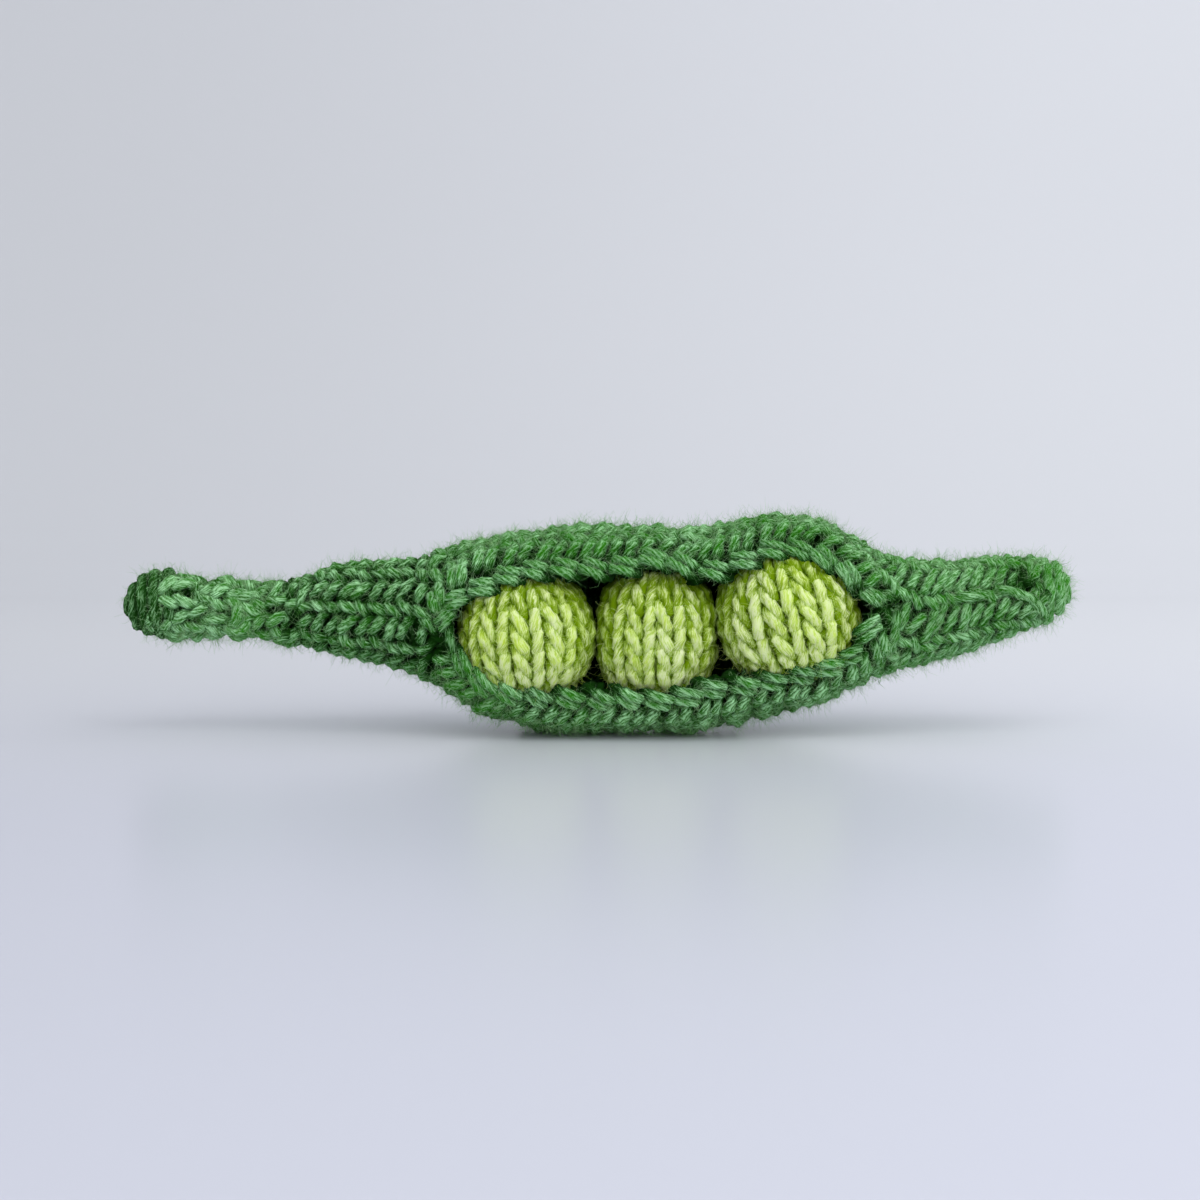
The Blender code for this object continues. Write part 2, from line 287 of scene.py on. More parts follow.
def stitch_tree() -> bpy.types.NodeTree:
    """Builds the tree that bends guide courses into loops and sweeps plied yarn along them.

    Returns:
        The tree. Its guides hold, for each point, a turn within the stitch, the directions across
        the stitch, along the column of stitches and out of the fabric, and a lift along the last.
    """
    craft = GeometryCraft("knitted_loops")
    guides = craft.ask("Guides", SHAPE)
    bow, lean, height, depth = craft.sizes("Head Bow", "Lean", "Loop Height", "Loop Depth")
    plies = craft.ask("Plies", WHOLE)
    radius, groove, twist, wander = craft.sizes("Yarn Radius", "Ply Groove", "Twist", "Wander")
    shade, seed = craft.sizes("Shade", "Seed")
    wool = craft.ask("Wool", MATERIAL)
    turn, lift = craft.named("turn"), craft.named("lift")
    across, along, out = (craft.named(name, "FLOAT_VECTOR") for name in ("across", "along", "out"))
    base = craft.named("base", "FLOAT_VECTOR")
    place = craft.out("GeometryNodeInputPosition")

    twice = turn * 2.0
    sway = craft.math("SINE", twice) * bow - craft.math("COSINE", turn) * lean
    rise = craft.math("COSINE", turn) * height
    back = (craft.math("COSINE", twice) + 1.0) * depth * -1.0
    drift = craft.noise(place, seed, DRIFT_SCALE) * (wander * 2.0)
    offset = across * sway + along * rise + out * (back + lift) + drift
    shape = craft.keep(guides, "base", place, "FLOAT_VECTOR")
    shape = craft.out("GeometryNodeSetPosition", {0: shape, "Offset": offset})
    shape = craft.out("GeometryNodeMeshToCurve", {0: shape})

    length = craft.out("GeometryNodeSplineParameter", port="Length")
    shape = craft.keep(shape, "run", length * (1 / MM))
    slub = craft.dot(craft.noise(place, seed + SLUB_SEED, SLUB_SCALE), (0.5, 0.0, 0.0))
    tilt = length * twist * TAU + slub * SLUB_TURN
    shape = craft.out("GeometryNodeSetCurveTilt", {0: shape, "Tilt": tilt})

    sides = craft.math("MULTIPLY", plies, float(PROFILE_STEPS))
    angle = craft.math("DIVIDE", craft.out("GeometryNodeInputIndex"), sides) * TAU
    crest = craft.math("ABSOLUTE", craft.math("COSINE", craft.math("MULTIPLY", angle, plies) * 0.5))
    reach = (groove * (crest - 1.0) + 1.0) * radius
    feeds = {0: craft.math("COSINE", angle), 1: craft.math("SINE", angle)}
    ring = craft.out("ShaderNodeCombineXYZ", feeds)
    profile = craft.out("GeometryNodeCurvePrimitiveCircle", {"Resolution": sides, "Radius": 1.0})
    profile = craft.keep(profile, "around", ring, "FLOAT_VECTOR")
    profile = craft.out("GeometryNodeSetPosition", {0: profile, "Position": ring * reach})
    feeds = {0: shape, 1: profile, "Scale": slub * SLUB_SWELL + 1.0, "Fill Caps": True}
    yarn = craft.out("GeometryNodeCurveToMesh", feeds)

    # The stored height, the yarn's height off the fabric less the Shade input, sets the wool's painted shade
    # and where loose fibres grow; a Shade above zero adds painted shade, one below zero painted light.
    standing = craft.dot(place - base, out)
    yarn = craft.keep(yarn, "height", (standing - shade) * (1 / MM))
    for name in ("turn", "across", "along", "lift", "base"):
        yarn = craft.drop(yarn, name)
    return craft.finish(craft.above(yarn, 0.0), wool)


HALO_POINTS = 3  # points along each loose fibre
HALO_SIDES = 3
HALO_TAPER = 0.7  # how much thinner it is at its end
HALO_SIZES = (0.25, 1.0)  # the shortest and the longest, as shares of the full length
HALO_FACING = (-0.1, 0.7)  # how far outwards yarn faces where no fibre grows, and where all do
HALO_HEIGHT = (-0.5, 0.7)  # and how high it stands there, in millimetres
HALO_FLOOR = 0.02 * MM  # the lowest that a fibre's middle comes
CURL_SCALE = 900.0  # the fineness of the noise that it curls by


def halo_tree() -> bpy.types.NodeTree:
    """Builds the tree that grows loose curling fibres on the outward side of knitted yarn.

    Returns:
        The tree, whose input is a knitted mesh that still holds "height" and "out".
    """
    craft = GeometryCraft("wool_halo")
    knit = craft.ask("Knit", SHAPE)
    density, length, thickness, curl, splay = craft.sizes("Density", "Length", "Thickness", "Curl", "Splay")
    back, behind = craft.sizes("Back Limit", "Share Behind")
    seed = craft.ask("Seed", WHOLE)
    wool = craft.ask("Wool", MATERIAL)

    facing = craft.dot(craft.out("GeometryNodeInputNormal"), craft.named("out", "FLOAT_VECTOR"))
    outward = craft.spread(facing, *HALO_FACING, 0.0, 1.0)
    shown = craft.spread(craft.named("height"), *HALO_HEIGHT, 0.0, 1.0)
    place = craft.out("GeometryNodeInputPosition")
    depth = craft.out("ShaderNodeSeparateXYZ", {0: place}, 1)
    ahead = craft.math("LESS_THAN", depth, back)
    share = craft.math("MAXIMUM", ahead, behind)
    feeds = {0: knit, "Density": density * outward * shown * share, "Seed": seed}
    scatter = craft.node("GeometryNodeDistributePointsOnFaces", feeds, distribute_method="RANDOM")
    roots, rooted = (Field(craft, scatter.outputs[name]) for name in ("Points", "Normal"))

    feeds = {"Count": HALO_POINTS, "Offset": (0.0, 0.0, 1 / (HALO_POINTS - 1))}
    fibre = craft.out("GeometryNodeMeshLine", feeds, mode="OFFSET")
    fibre = craft.keep(fibre, "reach", craft.out("GeometryNodeInputIndex") * (1 / (HALO_POINTS - 1)))
    feeds = {0: (-1.0, -1.0, -1.0), 1: (1.0, 1.0, 1.0), "Seed": seed}
    stray = craft.out("FunctionNodeRandomValue", feeds, 0, data_type="FLOAT_VECTOR")
    aim = rooted + stray * splay
    rotation = craft.out("FunctionNodeAlignRotationToVector", {"Vector": aim}, axis="Z")
    feeds = {2: HALO_SIZES[0], 3: HALO_SIZES[1], "Seed": seed}
    size = craft.out("FunctionNodeRandomValue", feeds, 1, data_type="FLOAT")
    feeds = {0: roots, "Instance": fibre, "Rotation": rotation, "Scale": size * length}
    fibres = craft.out("GeometryNodeInstanceOnPoints", feeds)
    fibres = craft.out("GeometryNodeRealizeInstances", {0: fibres})

    grown = craft.named("reach")
    bend = craft.noise(place, craft.math("ADD", seed, 0.5), CURL_SCALE, 2.0) * (curl * 2.0)
    fibres = craft.out("GeometryNodeSetPosition", {0: fibres, "Offset": bend * grown})
    fibres = craft.out("GeometryNodeMeshToCurve", {0: craft.above(fibres, HALO_FLOOR)})
    outline = craft.out("GeometryNodeCurvePrimitiveCircle", {"Resolution": HALO_SIDES, "Radius": thickness})
    feeds = {0: fibres, 1: outline, "Scale": grown * -HALO_TAPER + 1.0, "Fill Caps": True}
    return craft.finish(craft.out("GeometryNodeCurveToMesh", feeds), wool)


class FinishCraft(NodeCraft):
    """A Principled material under construction."""

    def __init__(self, name: str) -> None:
        """Makes a material with its own shader.

        Args:
            name: the material's name.
        """
        self.material = bpy.data.materials.new(name)
        self.material.use_nodes = True
        super().__init__(self.material.node_tree)

    def place(self) -> Field:
        """The point's own place on its piece."""
        return self.out("ShaderNodeTexCoord", port="Object")

    def kept(self, name: str, port: str = "Fac") -> Field:
        """What the mesh holds under this name."""
        return self.out("ShaderNodeAttribute", port=port, attribute_name=name)

    def noise(self, place: Field, scale: float, detail: float, roughness: float = 0.6) -> Field:
        """A noise pattern's value at a place."""
        feeds = {"Vector": place, "Scale": scale, "Detail": detail, "Roughness": roughness}
        return self.out("ShaderNodeTexNoise", feeds)

    def mix(self, share: Field, first: Any, second: Any) -> Field:
        """Mixes two colours by a share from 0 to 1."""
        pair = [colour if isinstance(colour, Field) else (*colour, 1.0) for colour in (first, second)]
        return self.out("ShaderNodeMix", {0: share, 6: pair[0], 7: pair[1]}, 2, data_type="RGBA")

    def dress(self, inputs: dict[str, Any]) -> bpy.types.Material:
        """Feeds the shader's inputs.

        Args:
            inputs: values or outputs, by input name.

        Returns:
            The finished material.
        """
        shader = self.tree.nodes["Principled BSDF"]
        for name, value in inputs.items():
            self.feed(shader.inputs[name], value)
        return self.material


# ---------------------------------------------------------------- meshes and pieces


def place_in_scene(name: str, data: bpy.types.ID) -> bpy.types.Object:
    """Makes an object of this mesh, lamp or camera and links it to the scene.

    Args:
        name: the object's name.
        data: the mesh, lamp or camera.

    Returns:
        The object.
    """
    made = bpy.data.objects.new(name, data)
    bpy.context.scene.collection.objects.link(made)
    return made


def face_outwards(mesh: bpy.types.Mesh) -> None:
    """Turns a closed mesh's faces round if they point inwards.

    Args:
        mesh: the mesh.
    """
    mesh.calc_loop_triangles()
    points = np.empty(len(mesh.vertices) * 3, np.float32)
    mesh.vertices.foreach_get("co", points)
    corners = np.empty(len(mesh.loop_triangles) * 3, np.int32)
    mesh.loop_triangles.foreach_get("vertices", corners)
    a, b, c = (points.reshape(-1, 3)[corners.reshape(-1, 3)[:, k]].astype(float) for k in range(3))
    if np.einsum("ij,ij->i", a, np.cross(b, c)).sum() < 0:
        mesh.flip_normals()


def make_plain(piece: bpy.types.Object) -> None:
    """Turns what an object's modifiers make into its own mesh, which faces outwards.

    Args:
        piece: the object, which loses its modifiers.
    """
    graph = bpy.context.evaluated_depsgraph_get()
    evaluated = piece.evaluated_get(graph)
    mesh = bpy.data.meshes.new_from_object(evaluated, preserve_all_data_layers=True, depsgraph=graph)
    piece.modifiers.clear()
    piece.data = mesh
    mesh.name = piece.name
    face_outwards(mesh)


def grow(
    name: str, source: bpy.types.Mesh, tree: bpy.types.NodeTree, values: dict[str, Any]
) -> bpy.types.Object:
    """Runs a tree on a mesh and keeps the result as a plain mesh object.

    Args:
        name: the piece's name.
        source: the mesh that the tree starts from.
        tree: the Geometry Nodes tree.
        values: its inputs by name.

    Returns:
        The finished object, with no modifier.
    """
    piece = place_in_scene(name, source)
    modifier = piece.modifiers.new("make", "NODES")
    modifier.node_group = tree
    for item in tree.interface.items_tree:
        if item.item_type == "SOCKET" and item.in_out == "INPUT" and item.name in values:
            modifier[item.identifier] = values[item.name]
    make_plain(piece)
    return piece


def grid_faces(rows: int, wide: int, closed: bool) -> Faces:
    """The squares between rows of points.

    Args:
        rows: how many rows there are.
        wide: how many points each has.
        closed: whether a row's last point joins its first.

    Returns:
        The corners of each square.
    """
    faces: Faces = []
    for row in range(rows - 1):
        for column in range(wide if closed else wide - 1):
            here, near = row * wide + column, row * wide + (column + 1) % wide
            faces.append((here, near, near + wide, here + wide))
    return faces


# ---------------------------------------------------------------- wool and finishes


@dataclass(frozen=True)
class Yarn:
    """A plied yarn."""

    radius: float
    plies: int = 3
    groove: float = 0.22
    twist: float = 110.0  # turns a metre; the sign is its direction
    wander: float = 0.30 * MM


@dataclass(frozen=True)
class Gauge:
    """The shape of one knitted loop."""

    pitch: float  # from one course to the next
    bow: float  # how far the head opens, in stitch widths
    lean: float  # how far the head sits to one side, in stitch widths
    height: float  # half the loop's height, in courses
    depth: float  # half the way that it dips behind the face


FIBRE_SCALE, HAIR_SCALE = 2.9, 8.0  # how fine the streaks of fibre are, and the hairs on them
HAIR_SHARE = 0.8  # how much hairs count in colour, against streaks
RELIEF_MIX = (0.6, 0.4)  # how much streaks and hairs count in relief
ROUGHNESS = (0.95, 0.78)  # between streaks and on them
HEATHER_SCALE, PATCH_SCALE = 160.0, 45.0  # and the flecks and patches of colour, in waves a metre
STREAK_RANGE = (0.72, 1.08)  # from where the noise of fibres starts a streak to where it is full
STREAK_DEPTH = 0.9  # how much a full streak counts higher than none where the painted shade is worked out, in millimetres
TONE_RANGE = (0.20, 0.78)  # from the tone of the body colour to that of the light one
SHADED_PALE_LOSS = 0.75  # how much of the light colour the painted shade takes away, down between the stitches
RELIEF_DEPTH = 0.30 * MM


@dataclass(frozen=True)
class WoolFinish:
    """A matt, fibrous wool with painted shade: darker and richer down between its plies and stitches, where
    shade falls.
    """

    name: str
    light: Colour
    body: Colour
    # the colour of the painted shade down between its plies and stitches
    shade_colour: Colour
    low: float  # the height, in millimetres, below which its painted shade is full
    high: float  # and above which it has no painted shade
    streaks: float  # how strongly its fibres show in colour
    relief: float  # and in relief
    bleach: float = 0.0  # how much more of the light colour it shows than the body colour
    heather: float = 0.42  # how strongly single flecks differ in colour
    patches: float = 0.34  # and whole patches
    stretch: float = 0.26  # how much finer its fibres are round the yarn than along it
    sheen: float = 0.02

    def material(self) -> bpy.types.Material:
        """Builds the material.

        Returns:
            A Principled material whose fibres follow the yarn's own twist.
        """
        craft = FinishCraft(self.name)
        lengthwise = craft.out("ShaderNodeCombineXYZ", {2: craft.kept("run") * self.stretch})
        strand = craft.combine("ADD", craft.kept("around", "Vector"), lengthwise)
        fibres = craft.noise(strand, FIBRE_SCALE, 3.0)
        hairs = craft.noise(strand, HAIR_SCALE, 2.0)
        place = craft.place()
        heather = craft.noise(place, HEATHER_SCALE, 3.0)
        patches = craft.noise(place, PATCH_SCALE, 2.0)

        streak = craft.spread(fibres + hairs * HAIR_SHARE, *STREAK_RANGE, 0.0, 1.0)
        tone = (streak - 0.5) * self.streaks + heather * self.heather + patches * self.patches + self.bleach
        # Painted shade: where the yarn lies low it is mixed towards its shade colour and shows less of its
        # light colour; the streaks break the painted shade up.
        height = craft.kept("height") + (streak - 0.5) * STREAK_DEPTH
        shade = craft.spread(height, self.low, self.high, 1.0, 0.0)
        share = craft.spread(tone, *TONE_RANGE, 0.0, 1.0) * (shade * -SHADED_PALE_LOSS + 1.0)
        colour = craft.mix(shade, craft.mix(share, self.body, self.light), self.shade_colour)
        bumps = fibres * RELIEF_MIX[0] + hairs * RELIEF_MIX[1]
        feeds = {"Strength": self.relief, "Distance": RELIEF_DEPTH, "Height": bumps}
        return craft.dress(
            {
                "Base Color": colour,
                "Roughness": craft.spread(streak, 0.0, 1.0, *ROUGHNESS),
                "Specular IOR Level": 0.10,
                "Sheen Weight": self.sheen,
                "Sheen Roughness": 0.45,
                "Sheen Tint": (*self.light, 1.0),
                "Normal": craft.out("ShaderNodeBump", feeds),
            }
        )


@dataclass(frozen=True)
class FibreFinish:
    """Loose fibre: the wool's halo, or stuffing."""

    name: str
    tip: Colour
    root: Colour
    grain: float = 700.0  # how fine its mottling is, in waves a metre
    mottle: tuple[float, float] = (0.35, 0.65)  # from the noise of the root's tone to that of the tip's

    def material(self) -> bpy.types.Material:
        """Builds the material, mottled between its two tones.

        Returns:
            The material.
        """
        craft = FinishCraft(self.name)
        mottle = craft.spread(craft.noise(craft.place(), self.grain, 2.0, 0.5), *self.mottle, 0.0, 1.0)
        colour = craft.mix(mottle, self.root, self.tip)
        finish = {"Base Color": colour, "Roughness": 0.9, "Specular IOR Level": 0.2, "Sheen Weight": 0.3}
        return craft.dress(finish)


POD_WOOL = WoolFinish(
    "pod_wool",
    light=(0.540, 0.960, 0.530),
    body=(0.033, 0.228, 0.005),
    shade_colour=(0.0045, 0.044, 0.0008),
    low=-0.85,
    high=1.0,
    streaks=0.38,
    relief=0.55,
)
PEA_WOOL = WoolFinish(
    "pea_wool",
    light=(0.900, 0.990, 0.600),
    body=(0.655, 0.895, 0.080),
    shade_colour=(0.190, 0.330, 0.0005),
    low=-0.9,
    high=0.65,
    streaks=0.27,
    relief=0.4,
    bleach=0.11,
)
POD_FIBRE = FibreFinish("pod_fibre", tip=(0.38, 0.68, 0.30), root=(0.06, 0.30, 0.02))
PEA_FIBRE = FibreFinish("pea_fibre", tip=(0.80, 0.94, 0.32), root=(0.46, 0.72, 0.03))
STUFFING = FibreFinish("stuffing", tip=(0.86, 0.85, 0.82), root=(0.70, 0.69, 0.65))


# ---------------------------------------------------------------- the pod's skin


CURVE_SAMPLES = 40  # between two knots of a given curve


def smooth_closed(points: Sequence[tuple[float, float]], count: int) -> Array:
    """Evenly spaced points on a closed Catmull-Rom curve through given ones.

    Args:
        points: the knots in order.
        count: how many points to give.

    Returns:
        An array of count rows.
    """
    knots = np.array(points, float)
    size = len(knots)
    place = np.linspace(0, size, CURVE_SAMPLES * size, endpoint=False)
    index = place.astype(int)
    t = (place - index)[:, None]
    p0, p1, p2, p3 = (knots[(index + k) % size] for k in (-1, 0, 1, 2))
    curve = 0.5 * (
        2 * p1 + (p2 - p0) * t + (2 * p0 - 5 * p1 + 4 * p2 - p3) * t**2 + (3 * p1 - p0 - 3 * p2 + p3) * t**3
    )
    ends = np.vstack([curve, curve[:1]])
    run = run_along(ends)
    even = np.linspace(0, run[-1], count, endpoint=False)
    return np.stack([np.interp(even, run, ends[:, k]) for k in range(2)], axis=1)


def run_along(points: Array) -> Array:
    """The distance of each point along a path from its first."""
    return np.concatenate([[0], np.cumsum(np.linalg.norm(np.diff(points, axis=0), axis=1))])


def unit(vectors: Array) -> Array:
    """The same directions at length one."""
    return vectors / np.maximum(np.linalg.norm(vectors, axis=-1, keepdims=True), 1e-12)


def smoothstep(value: Array | float) -> Array:
    """Rises smoothly from 0 to 1 as the value does."""
    t = np.clip(value, 0.0, 1.0)
    return t * t * (3 - 2 * t)


@dataclass
class PodForm:
    """The face of the casing's fabric as one smooth surface, measured on the CAD casing.

    An angle of half a turn is the front of a section and three quarters of a turn its underside.
    """

    squareness: float = 2.2  # 2 for elliptical sections, more for fuller ones
    stem_round: float = 5.2 * MM  # the length of the stem's round end
    tip_round: float = 6.4 * MM  # and of the tip's
    blur: float = 2.2 * MM  # how far to each side the measured outline is smoothed
    inset: float = 0.45 * MM  # how far the face lies inside the CAD casing
    belly_inset: float = 0.68 * MM  # and how far on its underside
    floor: float = 0.95 * MM  # the lowest that the face comes
    tip_lift: float = 0.5 * MM  # how much higher than measured the tip lies
    tip_rise: tuple[float, float] = (45.0, 20.0)  # where the tip starts to rise, and over what length
    point_lift: float = 1.4 * MM  # how much slimmer than measured its end is underneath
    point_rise: tuple[float, float] = (56.0, 11.0)
    sections: int = 420  # how many are measured
    round_samples: int = 60  # places along a round end, in the table of distances
    plain_samples: int = 500  # and between the two
    least: float = 0.05 * MM  # the smallest half size of a section
    ends: tuple[float, float] = field(init=False)
    x: Array = field(init=False)
    outline: Array = field(init=False)
    table_x: Array = field(init=False)
    runs: Array = field(init=False)

    def __post_init__(self) -> None:
        """Measures the casing's underside, top and depth along X, and its length over the skin."""
        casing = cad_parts["pod_casing"].data
        faces = [tuple(face.vertices) for face in casing.polygons]
        solid = BVHTree.FromPolygons([v.co for v in casing.vertices], faces)
        self.ends = (cad_box[0].x, cad_box[1].x)
        sound = np.linspace(self.ends[0] + self.stem_round, self.ends[1] - self.tip_round, self.sections)
        measured = np.array([self._measure(solid, x) for x in sound])
        width = int(self.blur / (sound[1] - sound[0]))
        kernel = np.hanning(2 * width + 3)[1:-1]
        padded = np.pad(measured, ((width, width), (0, 0)), mode="edge")
        smooth = [np.convolve(padded[:, k], kernel / kernel.sum(), "valid") for k in range(3)]
        self.x = sound
        self.outline = np.stack(smooth, axis=1)
        self._measure_runs()

    @staticmethod
    def _measure(solid: BVHTree, x: float) -> tuple[float, float, float]:
        """The underside, top and half depth of the casing at one place along X.

        Args:
            solid: the casing's faces.
            x: the place.

        Returns:
            The three measures.
        """
        top = solid.ray_cast(Vector((x, 0, 1)), Vector((0, 0, -1)))[0].z
        low = solid.ray_cast(Vector((x, 0, -1)), Vector((0, 0, 1)))[0].z
        back = solid.ray_cast(Vector((x, 1, (top + low) / 2)), Vector((0, -1, 0)))[0].y
        return low, top, back

    def section(self, x: Array) -> tuple[Array, Array, Array]:
        """A section's middle height, half height and half depth at the fabric's face.

        Args:
            x: places along X.

        Returns:
            The three arrays.
        """
        low, high, depth = (np.interp(x, self.x, self.outline[:, k]) for k in range(3))
        share = np.ones_like(x)
        for end, inward, reach in ((self.ends[0], 1, self.stem_round), (self.ends[1], -1, self.tip_round)):
            size = reach - self.inset
            gone = np.clip(1 - ((x - end) * inward - self.inset) / size, 0.0, 1.0)
            share = share * np.sqrt(np.maximum(1 - gone**2, 1e-5))
        raised = self.tip_lift * smoothstep((x / MM - self.tip_rise[0]) / self.tip_rise[1])
        pointed = self.point_lift * smoothstep((x / MM - self.point_rise[0]) / self.point_rise[1])
        low = low + self.belly_inset + raised + pointed
        high = high - self.inset + raised
        return (low + high) / 2, (high - low) / 2 * share, (depth - self.inset) * share

    def _measure_runs(self) -> None:
        """Tables the distance along the skin against X, with the round ends included."""
        arc = np.linspace(0, math.pi / 2, self.round_samples)
        start, end = self.ends[0] + self.inset, self.ends[1] - self.inset
        first = start + (self.stem_round - self.inset) * (1 - np.cos(arc))
        last = end - (self.tip_round - self.inset) * (1 - np.cos(arc[::-1]))
        plain = np.linspace(first[-1], last[0], self.plain_samples)[1:-1]
        self.table_x = np.concatenate([first, plain, last])
        _, height, depth = self.section(self.table_x)
        steps = np.hypot(np.diff(self.table_x), np.diff((height + depth) / 2))
        self.runs = np.concatenate([[0], np.cumsum(steps)])

    @property
    def length(self) -> float:
        """The distance along the skin from end to end."""
        return float(self.runs[-1])

    def x_at(self, run: float) -> float:
        """The place along X at a distance along the skin."""
        return float(np.interp(run, self.runs, self.table_x))

    def run_at(self, x: float) -> float:
        """The distance along the skin at a place along X."""
        return float(np.interp(x, self.table_x, self.runs))

    def skin(self, x: Array, angle: Array, sink: float = 0.0) -> Array:
        """Points on the fabric's face, or sunk below it.

        Args:
            x: places along X.
            angle: angles round the section.
            sink: how far inside the face.

        Returns:
            The points, one row each.
        """
        middle, height, depth = self.section(x)
        height = np.maximum(height - sink, self.least)
        depth = np.maximum(depth - sink, self.least)
        power = 2 / self.squareness
        c, s = np.cos(angle), np.sin(angle)
        y = depth * np.sign(c) * np.abs(c) ** power
        z = middle + height * np.sign(s) * np.abs(s) ** power
        return np.stack([x, y, np.maximum(z, self.floor + sink)], axis=-1)

    def angle_of(self, points: Array) -> Array:
        """The angle from the front of the section, positive downwards, of points on the skin.

        Args:
            points: the points, one row each.

        Returns:
            Their angles.
        """
        middle, height, depth = self.section(points[..., 0])
        up = (middle - points[..., 2]) / height
        fore = -points[..., 1] / depth
        power = self.squareness / 2
        return np.arctan2(np.sign(up) * np.abs(up) ** power, np.sign(fore) * np.abs(fore) ** power)

    def _level(self, points: Array) -> Array:
        """Below one inside the skin, one on it and above one outside.

        Args:
            points: the points, one row each.

        Returns:
            Their levels.
        """
        middle, height, depth = self.section(points[..., 0])
        n = self.squareness
        sideways, up = np.abs(points[..., 1] / depth), np.abs((points[..., 2] - middle) / height)
        return (sideways**n + up**n) ** (1 / n)

    def onto(self, points: Array) -> Array:
        """The points moved straight in or out onto the skin.

        Args:
            points: the points, one row each.

        Returns:
            The moved points.
        """
        level = self._level(points)[..., None]
        middle = np.zeros_like(points)
        middle[..., 0] = points[..., 0]
        middle[..., 2] = self.section(points[..., 0])[0]
        return middle + (points - middle) / level

    def normal(self, points: Array) -> Array:
        """The skin's outward direction at these points.

        Args:
            points: the points, one row each.

        Returns:
            One direction for each.
        """
        step = 0.2 * MM
        steps = step * np.eye(3)
        slope = [self._level(points + axis) - self._level(points - axis) for axis in steps]
        return unit(np.stack(slope, axis=-1))


